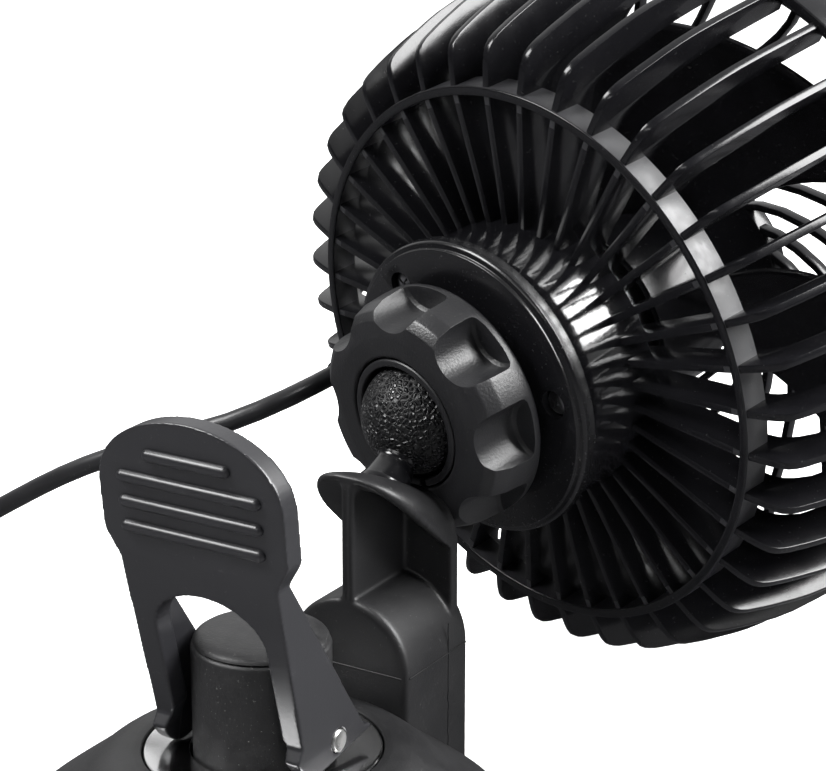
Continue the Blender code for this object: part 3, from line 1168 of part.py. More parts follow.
def make_motor(head, steel, black, copper, dark):
    """The motor: end cap, can, magnets, brushes, bushings and its screws."""
    plate_front = PLATE_REAR + PLATE_THICK
    rear = plate_front + FIT
    can_inner = MOTOR_RADIUS - MOTOR_WALL
    cap_front = CAN_REAR + ENDCAP_PLUG_DEPTH
    flange = CAN_REAR - FIT
    bush_rear = cap_front - BUSH_LENGTH
    cap = [(BUSH_RADIUS + FIT, cap_front), (can_inner - FIT, cap_front), (can_inner - FIT, flange),
           (MOTOR_RADIUS, flange), (MOTOR_RADIUS, rear), (0, rear), (0, bush_rear - FIT),
           (BUSH_RADIUS + FIT, bush_rear - FIT)]
    cap = [cap[6], cap[7]] + cap[:6]
    endcap = turned("motor_endcap", cap, ROUND_STEPS, head, black)
    for k, place in enumerate(motor_screw_places()):
        boolean(endcap, rod(f"endcap_hole_{k + 1}", SCREW_SHANK_RADIUS + FIT,
                            place + Vector((0, 0, rear - OVERRUN)),
                            place + Vector((0, 0, PLATE_REAR + MOTOR_SCREW_LENGTH + FIT + FIT)),
                            FEW_STEPS, head, tool=True))
        screw_piece(f"motor_screw_{k + 1}", place + Vector((0, 0, PLATE_REAR + FIT)), head, steel,
                    True, MOTOR_SCREW_LENGTH, crossed=False)

    nose = CAN_FRONT + CAN_NOSE
    can = [(SHAFT_RADIUS + FIT, nose), (CAN_NOSE_RADIUS, nose), (CAN_NOSE_RADIUS, CAN_FRONT),
           (MOTOR_RADIUS - MOTOR_WALL, CAN_FRONT), (MOTOR_RADIUS, CAN_FRONT - MOTOR_WALL),
           (MOTOR_RADIUS, CAN_REAR), (can_inner, CAN_REAR), (can_inner, CAN_FRONT - MOTOR_WALL),
           (BUSH_RADIUS + FIT, CAN_FRONT - MOTOR_WALL), (BUSH_RADIUS + FIT, nose - MOTOR_WALL),
           (SHAFT_RADIUS + FIT, nose - MOTOR_WALL)]
    turned("motor_can", can, ROUND_STEPS, head, steel, ring=True)
    bore = SHAFT_RADIUS + FIT
    for name, low in (("bushing_rear", bush_rear), ("bushing_front", nose - MOTOR_WALL - FIT - BUSH_LENGTH)):
        ring = [(BUSH_RADIUS, low + BUSH_LENGTH), (BUSH_RADIUS, low), (bore, low), (bore, low + BUSH_LENGTH)]
        turned(name, ring, SOME_STEPS, head, copper, ring=True)

    outer = can_inner - FIT
    inner = outer - MAGNET_THICK
    front = CAN_FRONT - MOTOR_WALL - MAGNET_FRONT_GAP
    for k in range(2):
        turn = 180 * k
        shape = [tuple(polar(outer, turn + a)[:2])
                 for a in np.linspace(-MAGNET_HALF_DEG, MAGNET_HALF_DEG, FEW_STEPS)]
        shape += [tuple(polar(inner, turn + a)[:2])
                  for a in np.linspace(MAGNET_HALF_DEG, -MAGNET_HALF_DEG, FEW_STEPS)]
        flat(f"magnet_{k + 1}", [shape], MAGNET_LENGTH, "XY", (0, 0, front - MAGNET_LENGTH / 2),
             head, dark)

    ring_rear = cap_front + FIT
    middle = ring_rear + COMMUTATOR_LENGTH / 2
    for k in range(2):
        side = 1 - 2 * k
        near = COMMUTATOR_RADIUS + FIT
        ends = sorted((side * near, side * (near + BRUSH_LENGTH)))
        half = BRUSH_WIDTH / 2
        box(f"brush_{k + 1}", (ends[0], -half, ring_rear), (ends[1], half, middle + half), head, dark)

    spin = axis_empty("fan_axis", (0, 0, 0), head)
    armature_radius = inner - AIR_GAP
    middle = front - MAGNET_LENGTH / 2
    low, high = middle - ARMATURE_LENGTH / 2, middle + ARMATURE_LENGTH / 2
    core = turned("armature_core", [(armature_radius, high), (armature_radius, low), (bore, low),
                                    (bore, high)], ROUND_STEPS, spin, steel, ring=True)
    slot = box("armature_slot", (armature_radius - ARMATURE_SLOT_DEPTH, -ARMATURE_SLOT_WIDTH / 2,
                                 low - OVERRUN),
               (armature_radius + OVERRUN, ARMATURE_SLOT_WIDTH / 2, high + OVERRUN), spin, tool=True)
    slots = copies("armature_slots", slot.data, around(ARMATURE_SLOTS))
    slots = add("armature_slots", slots, spin, tool=True)
    boolean(core, slots)
    turned("commutator", [(COMMUTATOR_RADIUS, low - FIT), (COMMUTATOR_RADIUS, ring_rear), (bore, ring_rear),
                          (bore, low - FIT)], SOME_STEPS, spin, copper, ring=True)
    rod("motor_shaft", SHAFT_RADIUS, (0, 0, bush_rear), (0, 0, SHAFT_FRONT), SOME_STEPS, spin, steel)
    return spin


def make_rotor(spin, black):
    """The rotor: a hub cup with five blades, and the cap that holds it on the shaft."""
    bore = SHAFT_RADIUS + FIT
    wall_rear = HUB_FRONT - HUB_WALL
    edge = HUB_WALL
    profile = [(bore, HUB_FRONT), (HUB_RADIUS - edge, HUB_FRONT), (HUB_RADIUS, HUB_FRONT - edge),
               (HUB_RADIUS, HUB_REAR), (HUB_RADIUS - HUB_WALL, HUB_REAR),
               (HUB_RADIUS - HUB_WALL, wall_rear), (HUB_BOSS_RADIUS, wall_rear),
               (HUB_BOSS_RADIUS, wall_rear - HUB_BOSS_DEPTH), (bore, wall_rear - HUB_BOSS_DEPTH)]
    rotor = turned("fan_rotor", profile, ROUND_STEPS, spin, black, ring=True)
    bm = bmesh.new()
    bmesh.ops.create_grid(bm, x_segments=BLADE_COLUMNS, y_segments=BLADE_ROWS, size=1.0)
    root = HUB_RADIUS - HUB_WALL / 2
    tip = CAGE_RIM_RADIUS - BLADE_TIP_INSET
    for vert in bm.verts:
        along, out = vert.co.x, (vert.co.y + 1) / 2
        radius = root + (tip - root) * out
        span = BLADE_ROOT_SPAN_DEG + (BLADE_TIP_SPAN_DEG - BLADE_ROOT_SPAN_DEG) * out
        height = BLADE_ROOT_HEIGHT + (BLADE_TIP_HEIGHT - BLADE_ROOT_HEIGHT) * out
        angle = BLADE_SWEEP_DEG * out**2 + span / 2 * along
        lift = height / 2 * along + BLADE_CAMBER * (1 - along**2)
        vert.co = polar(radius, angle, BLADE_MID_Z + BLADE_RAKE * out + lift)
    blade = mesh_of(bm, "blade")
    blades = add("blades", copies("blades", blade, around(BLADE_COUNT, BLADE_PHASE_DEG)), spin, tool=True)
    skin = blades.modifiers.new("thickness", "SOLIDIFY")
    skin.thickness = BLADE_THICK
    skin.offset = 0
    boolean(rotor, blades, "UNION")
    low = HUB_FRONT + FIT
    high = low + HUB_CAP_LENGTH
    end = SHAFT_FRONT + FIT
    cap = [(0, high), (HUB_CAP_RADIUS - edge / 2, high), (HUB_CAP_RADIUS, high - edge / 2),
           (HUB_CAP_RADIUS, low), (bore, low), (bore, end), (0, end)]
    turned("hub_cap", cap, SOME_STEPS, spin, black)


def head_matrix():
    turn = (Matrix.Rotation(-math.radians(HEAD_YAW_DEG), 4, "Z")
            @ Matrix.Rotation(-math.radians(90 - HEAD_PITCH_DEG), 4, "X"))
    return Matrix.Translation((0, BALL_Y, BALL_Z + DECK_Z)) @ turn


def coil_points():
    """The coil's centre line: it spirals in and out again, and climbs where it reverses."""
    outer = COIL_INNER + COIL_PITCH * COIL_TURNS / COIL_LAYERS
    low = FIT + TIE_THICK + FIT + CORD_RADIUS
    layer = math.tau * COIL_TURNS / COIL_LAYERS
    found = []
    for k in range(COIL_TURNS * COIL_POINTS + 1):
        wound = math.tau * k / COIL_POINTS
        part = wound / layer
        fold = abs((part + 1) % 2 - 1)
        radius = outer - (outer - COIL_INNER) * fold
        climb = 0
        for change in range(1, COIL_LAYERS):
            climb += min(max((wound - change * layer) / math.pi + 1 / 2, 0), 1)
        angle = math.radians(COIL_END_DEG) - math.tau * COIL_TURNS + wound
        found.append((COIL_X + radius * math.cos(angle), COIL_Y + radius * math.sin(angle),
                      low + COIL_PITCH * climb))
    points = np.array(found)
    start_way = np.array(polar(1, COIL_END_DEG - 360 * COIL_TURNS + 90))
    end_way = np.array(polar(1, COIL_END_DEG + 90))
    straight = 2 * CORD_RADIUS
    points = np.vstack([points[0] - start_way * straight, points, points[-1] + end_way * straight])
    return points, start_way, end_way, outer


def make_cord(rubber):
    """The cord: the free stretch, the coiled length with its tie, and the tail to the plug."""
    coil, start_way, end_way, outer = coil_points()
    print("least gap of the coil to itself, mm:",
          round(1000 * least_gap(coil, CORD_RADIUS, math.pi * COIL_INNER), 3))
    tube("cord_coil", coil, CORD_RADIUS, 1, None, rubber)

    head = head_matrix()
    axis = head.to_3x3() @ Vector((0, 0, 1))
    first = head @ (polar(OUTLET_CIRCLE, OUTLET_ANGLE_DEG) + Vector((0, 0, RELIEF_TIP - FIT)))
    last = coil[0] - start_way * FIT
    route = [tuple(first)] + list(ROUTE) + [tuple(last)]
    spacing = 5 * CORD_RADIUS
    line = smooth_route(route, tuple(-axis), tuple(start_way), spacing)
    tube("cord", line, CORD_RADIUS, 2, None, rubber)
    run = np.linalg.norm(np.diff(line, axis=0), axis=1).sum()
    wound = np.linalg.norm(np.diff(coil, axis=0), axis=1).sum()
    print("cord lengths, mm: free", round(1000 * run), "coiled", round(1000 * wound))

    begin = coil[-1] + end_way * FIT
    end = begin + end_way * TAIL_LENGTH
    end[2] = PLUG_GRIP_RADIUS + FIT
    tail = smooth_route([begin, end - end_way * FIT], end_way, end_way, spacing)
    tube("cord_tail", tail, CORD_RADIUS, 2, None, rubber)

    low = FIT
    high = coil[:, 2].max() + CORD_RADIUS + FIT
    near = math.sqrt((COIL_INNER - CORD_RADIUS) ** 2 - (TIE_WIDTH / 2) ** 2) - FIT
    far = outer + CORD_RADIUS + FIT
    wall = TIE_THICK
    inside = [(near, low + wall), (far, low + wall), (far, high), (near, high)]
    outside = [(near - wall, low), (far + wall, low), (far + wall, high + wall), (near - wall, high + wall)]
    mesh = outline_mesh("coil_tie", [outside, inside], TIE_WIDTH, "XZ")
    mesh.transform(Matrix.Translation((COIL_X, COIL_Y, 0))
                   @ Matrix.Rotation(math.radians(TIE_DEG), 4, "Z"))
    add("coil_tie", mesh, None, rubber)
    return end


def make_plug(place, black, rubber, steel):
    """The plug at the cord's end, lying on its side: its nose points towards -Y."""
    frame = axis_empty("plug_frame", place, None, (math.pi / 2, 0, 0))
    start = PLUG_RELIEF_LENGTH
    bore = PLUG_BORE
    spigot = bore - FIT
    relief = [(0, start + PLUG_NOSE_SPIGOT), (spigot, start + PLUG_NOSE_SPIGOT), (spigot, start),
              (PLUG_RELIEF_RADIUS, start), (PLUG_RELIEF_TIP_RADIUS, 0), (0, 0)]
    turned("plug_relief", relief, SOME_STEPS, frame, rubber)

    rear = start + FIT
    front = rear + PLUG_LENGTH
    grip = PLUG_GRIP_RADIUS
    grip_end = rear + PLUG_GRIP_LENGTH
    slope = PLUG_GRIP_RADIUS - PLUG_RADIUS
    body = [(PLUG_RADIUS - CONTACT_THICK, front), (PLUG_RADIUS, front - CONTACT_THICK),
            (PLUG_RADIUS, grip_end + slope), (grip, grip_end), (grip, rear + PLUG_WALL),
            (grip - PLUG_WALL, rear), (bore, rear), (bore, front)]
    shell = turned("plug_body", body, ROUND_STEPS, frame, black, ring=True)
    from_z = front - PLUG_WALL - CONTACT_LENGTH
    for k in range(2):
        side = 1 - 2 * k
        base = PLUG_RADIUS - CONTACT_SEAT_DEPTH
        ends = sorted((side * (base - FIT), side * (PLUG_RADIUS + OVERRUN)))
        half = CONTACT_WIDTH / 2 + FIT
        boolean(shell, box(f"contact_seat_{k + 1}", (ends[0], -half, from_z - FIT),
                           (ends[1], half, from_z + CONTACT_LENGTH + FIT), frame, tool=True))
        line = []
        for j in range(FEW_STEPS + 1):
            share = j / FEW_STEPS
            line.append((side * (base + CONTACT_BULGE * math.sin(math.pi * share)),
                         from_z + CONTACT_LENGTH * share))
        back = [(x + side * CONTACT_THICK, z) for x, z in line[::-1]]
        flat(f"plug_contact_{k + 1}", [line + back], CONTACT_WIDTH, "XZ", (0, 0, 0), frame, steel)

    nose_rear = front + FIT
    nose_front = nose_rear + PLUG_NOSE_LENGTH
    wall = PLUG_WALL
    hole = PLUG_PIN_RADIUS + FIT
    nose = [(hole, nose_front), (PLUG_NOSE_RADIUS - wall, nose_front), (PLUG_NOSE_RADIUS, nose_front - wall),
            (PLUG_NOSE_RADIUS, nose_rear), (bore, nose_rear), (bore, nose_front - wall),
            (hole, nose_front - wall)]
    turned("plug_nose", nose, ROUND_STEPS, frame, black, ring=True)
    pin_frame = axis_empty("plug_pin_axis", (0, 0, 0), frame)
    flange = nose_front - wall - FIT
    tip = nose_front + PLUG_PIN_PROUD
    pin = [(0, tip), (PLUG_PIN_RADIUS / 2, tip), (PLUG_PIN_RADIUS, tip - PLUG_PIN_RADIUS / 2),
           (PLUG_PIN_RADIUS, flange), (spigot, flange), (spigot, flange - PLUG_PIN_FLANGE),
           (0, flange - PLUG_PIN_FLANGE)]
    turned("plug_pin", pin, SOME_STEPS, pin_frame, steel)
    fuse_front = flange - PLUG_PIN_FLANGE - FIT
    rod("plug_fuse", FUSE_RADIUS, (0, 0, fuse_front - FUSE_LENGTH), (0, 0, fuse_front), SOME_STEPS,
        pin_frame, steel)
    low = start + PLUG_NOSE_SPIGOT + FIT + PLUG_SPRING_WIRE_RADIUS
    high = fuse_front - FUSE_LENGTH - FIT - PLUG_SPRING_WIRE_RADIUS
    radius = bore - FIT - PLUG_SPRING_WIRE_RADIUS
    wound = []
    steps = PLUG_SPRING_TURNS * FEW_STEPS
    for k in range(steps + 1):
        share = k / steps
        wound.append(polar(radius, 360 * PLUG_SPRING_TURNS * share, low + (high - low) * share))
    tube("plug_spring", wound, PLUG_SPRING_WIRE_RADIUS, 1, frame, steel)


def main():
    clear_scene()
    rubber = look("rubber", (0.020, 0.020, 0.021), 0.60)
    black = look("black_plastic", (0.022, 0.022, 0.024), 0.42)
    grey = look("grey_plastic", (0.060, 0.060, 0.064), 0.50)
    steel = look("steel", (0.62, 0.62, 0.62), 0.28, 1.0)
    copper = look("copper", (0.72, 0.38, 0.20), 0.30, 1.0)
    dark = look("dark_sintered", (0.035, 0.035, 0.038), 0.70)

    deck = make_suction(None, rubber, black, steel)
    make_stem(deck, black)
    post_frame = make_post(deck, black, steel)
    make_lever(post_frame, black)

    swivel = axis_empty("swivel_axis", (0, BALL_Y, BALL_Z), deck)
    tilt = axis_empty("tilt_axis", (0, 0, 0), swivel, (0, 0, -math.radians(HEAD_YAW_DEG)))
    head = axis_empty("head_axis", (0, 0, 0), tilt, (-math.radians(90 - HEAD_PITCH_DEG), 0, 0))
    make_ball_joint(head, black, grey)
    make_disc(head, black, steel)
    make_rear_guard(head, black)
    make_relief(head, rubber)
    make_front_guard(head, black, steel)
    spin = make_motor(head, steel, black, copper, dark)
    make_rotor(spin, black)

    plug_place = make_cord(rubber)
    make_plug(plug_place, black, rubber, steel)


main()
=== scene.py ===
# %% [markdown]
# # A caged car fan on a suction foot
# The imported model is the fixed frame: it is loaded first, and every piece is fitted to it.

# %% Load the frame
from math import copysign, cos, pi, radians, sin, tau

import bmesh
import bpy
import numpy as np
from mathutils import Matrix, Vector, noise


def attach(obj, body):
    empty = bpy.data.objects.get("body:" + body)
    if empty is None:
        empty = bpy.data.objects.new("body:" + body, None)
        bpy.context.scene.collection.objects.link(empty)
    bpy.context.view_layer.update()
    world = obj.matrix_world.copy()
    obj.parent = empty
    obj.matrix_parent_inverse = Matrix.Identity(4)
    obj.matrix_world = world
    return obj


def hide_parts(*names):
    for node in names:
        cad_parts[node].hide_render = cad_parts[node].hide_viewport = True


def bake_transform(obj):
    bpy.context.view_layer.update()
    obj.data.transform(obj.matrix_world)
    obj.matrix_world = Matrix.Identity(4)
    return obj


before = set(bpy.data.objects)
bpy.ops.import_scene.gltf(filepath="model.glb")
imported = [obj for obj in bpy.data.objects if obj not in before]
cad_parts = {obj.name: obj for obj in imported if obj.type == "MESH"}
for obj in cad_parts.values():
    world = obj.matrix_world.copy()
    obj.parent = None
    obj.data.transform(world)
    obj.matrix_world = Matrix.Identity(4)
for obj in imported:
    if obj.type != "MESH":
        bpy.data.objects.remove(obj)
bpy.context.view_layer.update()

# %% [markdown]
# ## The camera
# The photograph looks down over the clamp side of the fan from the right, and cuts off most of
# the cage. A long lens keeps the perspective weak. Place and lens were worked out from the
# ellipses of the round parts.

# %% Camera
def linked(name, data):
    obj = bpy.data.objects.new(name, data)
    bpy.context.scene.collection.objects.link(obj)
    return obj


def look_along(azimuth, elevation):
    a, e = radians(azimuth), radians(elevation)
    return Vector((-sin(a) * cos(e), cos(a) * cos(e), -sin(e)))


lens = bpy.data.cameras.new("photo_lens")
lens.lens, lens.sensor_width, lens.clip_start = 111.66, 36.0, 0.01
camera = linked("photo_camera", lens)
camera.location = (0.2596, -0.3655, 0.2461)
camera.rotation_euler = look_along(31.7, 18.0).to_track_quat("-Z", "Y").to_euler()
bpy.context.scene.camera = camera
bpy.context.scene.view_settings.view_transform = "Standard"
print("camera", [round(v, 3) for v in camera.location])

# %% [markdown]
# ## Units, places and a way to finish a piece
# Pieces are modelled in millimetres about their own axis, which keeps the numbers readable, and
# put in their place at the end. HEAD is the fan's own frame: origin in the ball, +Z along the
# fan's axis, +X to the right and +Y down as seen from behind. DECK is the top of the foot.

# %% Places
MM = 0.001
DECK_MM = 28.0
BALL_MM = Vector((0, 57.2, 78.5))
HEAD_TURN, HEAD_LEAN = -14.3, 9.9
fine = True


def turned(degrees, axis="Z"):
    return Matrix.Rotation(radians(degrees), 4, axis)


FLOOR = Matrix.Identity(4)
DECK = Matrix.Translation((0, 0, DECK_MM * MM))
HEAD = Matrix.Translation(BALL_MM * MM) @ turned(HEAD_TURN) @ turned(HEAD_LEAN - 90, "X")


def polar(radius, degrees, height=0.0):
    angle = radians(degrees)
    return Vector((radius * cos(angle), radius * sin(angle), height))


def through(points, count):
    """A smooth line through points, as a bent strip would run, at evenly shared steps."""
    knots = np.array([points[0], *points, points[-1]], float)
    found = []
    for k in range(len(points) - 1):
        a, b, c, d = knots[k:k + 4]
        for t in np.linspace(0, 1, count, endpoint=False):
            found.append(0.5 * (2 * b + (c - a) * t + (2 * a - 5 * b + 4 * c - d) * t**2
                                + (3 * b - a - 3 * c + d) * t**3))
    return [tuple(p) for p in found] + [tuple(knots[-1])]

# %% [markdown]
# Each mesh gets smooth shading with its sharp edges kept, its finish and its body, and the
# solids that it stands for are hidden. One function does it, so no step is missed.

# %% Finish a piece
def shaded(bm, sharp_deg):
    bm.normal_update()
    for face in bm.faces:
        face.smooth = True
    for edge in bm.edges:
        edge.smooth = len(edge.link_faces) != 2 or edge.calc_face_angle(0) < radians(sharp_deg)


def mesh_from(name, bm):
    mesh = bpy.data.meshes.new(name)
    bm.to_mesh(mesh)
    bm.free()
    return mesh


def moved(bm, matrix):
    bmesh.ops.transform(bm, matrix=matrix, verts=bm.verts)
    return bm


def finished(name, bm, place, finish, body, slot, *solids, sharp=38):
    shaded(moved(bm, place @ Matrix.Scale(MM, 4)), sharp)
    obj = linked(name, mesh_from(name, bm))
    obj.data.materials.append(finish)
    if body:
        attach(obj, body)
    if solids:
        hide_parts(*solids)
    size = [round(v / MM, 1) for v in obj.dimensions]
    print(f"{name}: {len(obj.data.polygons)} faces, {size} mm, for {list(solids)}")
    return obj

# %% [markdown]
# ## Ways to shape
# Nearly everything here is moulded or turned, so four shapes carry the work: an outline spun
# about an axis, an outline given a depth, a rod between two points, and a round bar along a line.
# Corners of a spun outline are bevelled before the spin, which rounds the whole edge at once.

# %% Spun shapes
def soften(bm, geom, offset, segments=2, affect="EDGES"):
    bmesh.ops.bevel(bm, geom=geom, offset=offset, segments=segments, profile=0.5, affect=affect,
                    material=-1, clamp_overlap=True)


def spun(profile, steps=96, rounding=0.0, ring=False):
    """Spins an outline of (radius, height) about Z. A ring's outline closes on itself."""
    bm = bmesh.new()
    verts = [bm.verts.new((r, 0, z)) for r, z in profile]
    bm.faces.new(verts)
    if rounding:
        soften(bm, [v for v in verts if v.co.x > 0.01], rounding, 3, "VERTICES")
    bmesh.ops.delete(bm, geom=bm.faces[:], context="FACES_ONLY")
    if not ring:
        on_axis = [e for e in bm.edges if all(v.co.x < 0.001 for v in e.verts)]
        bmesh.ops.delete(bm, geom=on_axis, context="EDGES")
    bmesh.ops.spin(bm, geom=bm.verts[:] + bm.edges[:], cent=(0, 0, 0), axis=(0, 0, 1),
                   dvec=(0, 0, 0), angle=tau, steps=steps if fine else steps // 2,
                   use_merge=True, use_duplicate=False)
    bmesh.ops.remove_doubles(bm, verts=bm.verts, dist=0.0005)
    bmesh.ops.recalc_face_normals(bm, faces=bm.faces)
    return bm

# %% [markdown]
# A flat outline is drawn as one face, given its depth by extruding that face, and its long edges
# are bevelled if it needs soft edges. It can stand in any of the three planes.

# %% Flat shapes with a depth
PLANES = {"XY": Matrix.Identity(4), "XZ": turned(90, "X"), "YZ": turned(90) @ turned(90, "X")}


def creased(bm, degrees):
    return [e for e in bm.edges if e.calc_face_angle(0) > radians(degrees)]


def prism(outline, depth, plane="XY", centre=(0, 0, 0), rounding=0.0, segments=2):
    bm = bmesh.new()
    face = bm.faces.new([bm.verts.new((a, b, -depth / 2)) for a, b in outline])
    grown = bmesh.ops.extrude_face_region(bm, geom=[face])
    lifted = [v for v in grown["geom"] if isinstance(v, bmesh.types.BMVert)]
    bmesh.ops.translate(bm, vec=(0, 0, depth), verts=lifted)
    bmesh.ops.recalc_face_normals(bm, faces=bm.faces)
    if rounding:
        soften(bm, creased(bm, 50), rounding, segments)
    return moved(bm, Matrix.Translation(centre) @ PLANES[plane])


def rod(radius, start, end, steps=32, rounding=0.0):
    start, end = Vector(start), Vector(end)
    bm = bmesh.new()
    bmesh.ops.create_cone(bm, cap_ends=True, segments=steps, radius1=radius, radius2=radius,
                          depth=(end - start).length)
    if rounding:
        soften(bm, creased(bm, 50), rounding)
    turn = Vector((0, 0, 1)).rotation_difference(end - start).to_matrix().to_4x4()
    return moved(bm, Matrix.Translation((start + end) / 2) @ turn)

# %% [markdown]
# Shapes are joined by copying one bmesh into another, and repeated shapes by doing so at each
# turn. Where a moulding's parts must run into each other with soft inner corners, its shells are
# melted into one skin by a voxel remesh and smoothed, as the fillets of a real moulding are.

# %% Join, repeat, cut and melt
def joined(shapes, turns=(Matrix.Identity(4),)):
    whole = bmesh.new()
    for bm in shapes:
        mesh = mesh_from("shape", bm)
        for turn in turns:
            start = len(whole.verts)
            whole.from_mesh(mesh)
            whole.verts.ensure_lookup_table()
            bmesh.ops.transform(whole, matrix=turn, verts=whole.verts[start:])
        bpy.data.meshes.remove(mesh)
    return whole


def around(count, phase=0.0):
    return [turned(phase + 360 * k / count) for k in range(count)]


def through_modifiers(bm, set_up):
    """Runs modifiers over a bmesh and gives back the result as a new one."""
    obj = linked("work", mesh_from("work", bm))
    helpers = set_up(obj) or []
    graph = bpy.context.evaluated_depsgraph_get()
    result = bmesh.new()
    result.from_mesh(obj.evaluated_get(graph).to_mesh())
    for used in [obj, *helpers]:
        bpy.data.objects.remove(used)
    return result


def cut(bm, tools, operation="DIFFERENCE"):
    def set_up(obj):
        helpers = []
        for tool in tools:
            helper = linked("cutter", mesh_from("cutter", tool))
            change = obj.modifiers.new("cut", "BOOLEAN")
            change.operation, change.solver, change.object = operation, "EXACT", helper
            helpers.append(helper)
        return helpers
    return through_modifiers(bm, set_up)


def melted(bm, voxel, passes):
    def set_up(obj):
        skin = obj.modifiers.new("skin", "REMESH")
        skin.mode, skin.voxel_size = "VOXEL", voxel if fine else voxel * 2
    skin = through_modifiers(bm, set_up)
    for _ in range(passes):
        bmesh.ops.smooth_vert(skin, verts=skin.verts, factor=0.5, use_axis_x=True,
                              use_axis_y=True, use_axis_z=True)
    return skin

# %% [markdown]
# ## Finishes
# Colours are written as the sRGB hex values that a picture shows, and one function turns them to
# the linear values that the shader wants. One small function adds any shader node with its
# inputs, given as values or as links, and its settings. The others add what every finish uses.

# %% Colour and node helpers
def linear(code):
    channels = [int(code[k:k + 2], 16) / 255 for k in (1, 3, 5)]
    return (*[c / 12.92 if c <= 0.04045 else ((c + 0.055) / 1.055) ** 2.4 for c in channels], 1.0)


def add_node(tree, kind, sockets=None, **settings):
    node = tree.nodes.new("ShaderNode" + kind)
    for key, value in settings.items():
        setattr(node, key, value)
    for key, value in (sockets or {}).items():
        if isinstance(value, bpy.types.NodeSocket):
            tree.links.new(value, node.inputs[key])
        else:
            node.inputs[key].default_value = value
    return node


def new_finish(name):
    finish = bpy.data.materials.new(name)
    finish.use_nodes = True
    tree = finish.node_tree
    return finish, tree, tree.nodes["Principled BSDF"]


def cloud(tree, place, size_mm, detail, roughness=0.5):
    return add_node(tree, "TexNoise", {"Vector": place, "Scale": 1000 / size_mm,
                                       "Detail": detail, "Roughness": roughness})


def ranged(tree, value, low, high, to_low, to_high, **settings):
    return add_node(tree, "MapRange", {"Value": value, "From Min": low, "From Max": high,
                                       "To Min": to_low, "To Max": to_high},
                    **settings).outputs["Result"]


def mixed(tree, factor, first, second):
    return add_node(tree, "Mix", {"Factor": factor, "A": first, "B": second},
                    data_type="RGBA").outputs["Result"]


def bumped(tree, height, depth_mm, **under):
    return add_node(tree, "Bump", {"Height": height, "Strength": 1.0,
                                   "Distance": depth_mm * MM, **under}).outputs["Normal"]


def marked(tree, place, marks, detail, depth_mm, **under):
    """Tool marks: marks are the noise's scales along X, Y and Z, in marks for each metre."""
    drawn = add_node(tree, "Mapping", {"Vector": place, "Scale": marks})
    lines = add_node(tree, "TexNoise", {"Vector": drawn.outputs["Vector"], "Scale": 1.0,
                                        "Detail": detail})
    return bumped(tree, lines.outputs["Fac"], depth_mm, **under)


def feed(tree, shader, colour, roughness, normal):
    tree.links.new(colour, shader.inputs["Base Color"])
    tree.links.new(roughness, shader.inputs["Roughness"])
    tree.links.new(normal, shader.inputs["Normal"])

# %% [markdown]
# ### Moulded black plastic
# The cage, nut, lever and arm are injection-moulded ABS and nylon. The steel mould leaves a fine
# grain, the flow of the melt soft patches that shine more or less, and dust sits on it as pale
# specks. So a fine noise gives the bump, a broad one moves colour and roughness, and a sparse one
# gives the specks. Each size is in millimetres.

# %% Moulded plastic
DUST_COLOUR, PLASTIC_IOR = "#8c8c8a", 1.50


def moulded(name, colour, patch_colour, roughness, grain_mm, grain_height_mm, patch_mm=16.0,
            dust=0.25, dust_mm=1.3, spread=0.10, scratch=0.0, shine=0.5):
    finish, tree, shader = new_finish(name)
    place = add_node(tree, "TexCoord").outputs["Object"]
    patches = cloud(tree, place, patch_mm, 4.0, 0.6).outputs["Fac"]
    tint = mixed(tree, patches, linear(colour), linear(patch_colour))
    specks = cloud(tree, place, dust_mm, 2.0, 0.8).outputs["Fac"]
    sparse = ranged(tree, specks, 0.665, 0.74, 0.0, dust)
    dusted = mixed(tree, sparse, tint, linear(DUST_COLOUR))
    wear = ranged(tree, patches, 0.25, 0.75, roughness - spread / 2, roughness + spread / 2)
    rough = add_node(tree, "Math", {0: wear, 1: sparse}, operation="ADD", use_clamp=True)
    grain = cloud(tree, place, grain_mm, 3.0, 0.55).outputs["Fac"]
    bump = bumped(tree, grain, grain_height_mm)
    if scratch:
        bump = marked(tree, place, (900, 900, 26), 2.0, scratch, Normal=bump)
    feed(tree, shader, dusted, rough.outputs["Value"], bump)
    shader.inputs["IOR"].default_value = PLASTIC_IOR
    shader.inputs["Specular IOR Level"].default_value = shine
    return finish


cage_abs = moulded("satin_cage_abs", "#0c0c0e", "#141416", 0.20, 0.9, 0.010, patch_mm=7,
                   dust=0.08, dust_mm=0.8, spread=0.10, shine=0.3)
band_abs = moulded("matte_band_abs", "#161618", "#2a2a2d", 0.42, 0.5, 0.020, patch_mm=3,
                   dust=0.20, dust_mm=0.8, spread=0.20)
cage_gloss = moulded("polished_cage_abs", "#0c0c0e", "#131315", 0.09, 3.0, 0.030, patch_mm=9,
                     dust=0.10, dust_mm=0.9, spread=0.05)
knob_nylon = moulded("spark_grained_nylon", "#131315", "#1c1c1e", 0.38, 0.55, 0.060, dust=0.12,
                     dust_mm=0.8)
disc_abs = moulded("polished_moulded_abs", "#0a0a0c", "#131315", 0.25, 0.5, 0.018, dust=0.12,
                   dust_mm=0.7, spread=0.12)
lever_abs = moulded("satin_moulded_abs", "#1c1c1e", "#262629", 0.33, 0.4, 0.014, patch_mm=22,
                    dust=0.08, scratch=0.008)
arm_nylon = moulded("matt_grained_nylon", "#101012", "#1a1a1b", 0.46, 0.40, 0.045, patch_mm=11,
                    dust=0.22, dust_mm=0.7, spread=0.14)
post_nylon = moulded("stippled_nylon", "#121213", "#222223", 0.46, 0.60, 0.060, patch_mm=3.5,
                     dust=0.5, dust_mm=0.6, spread=0.20)
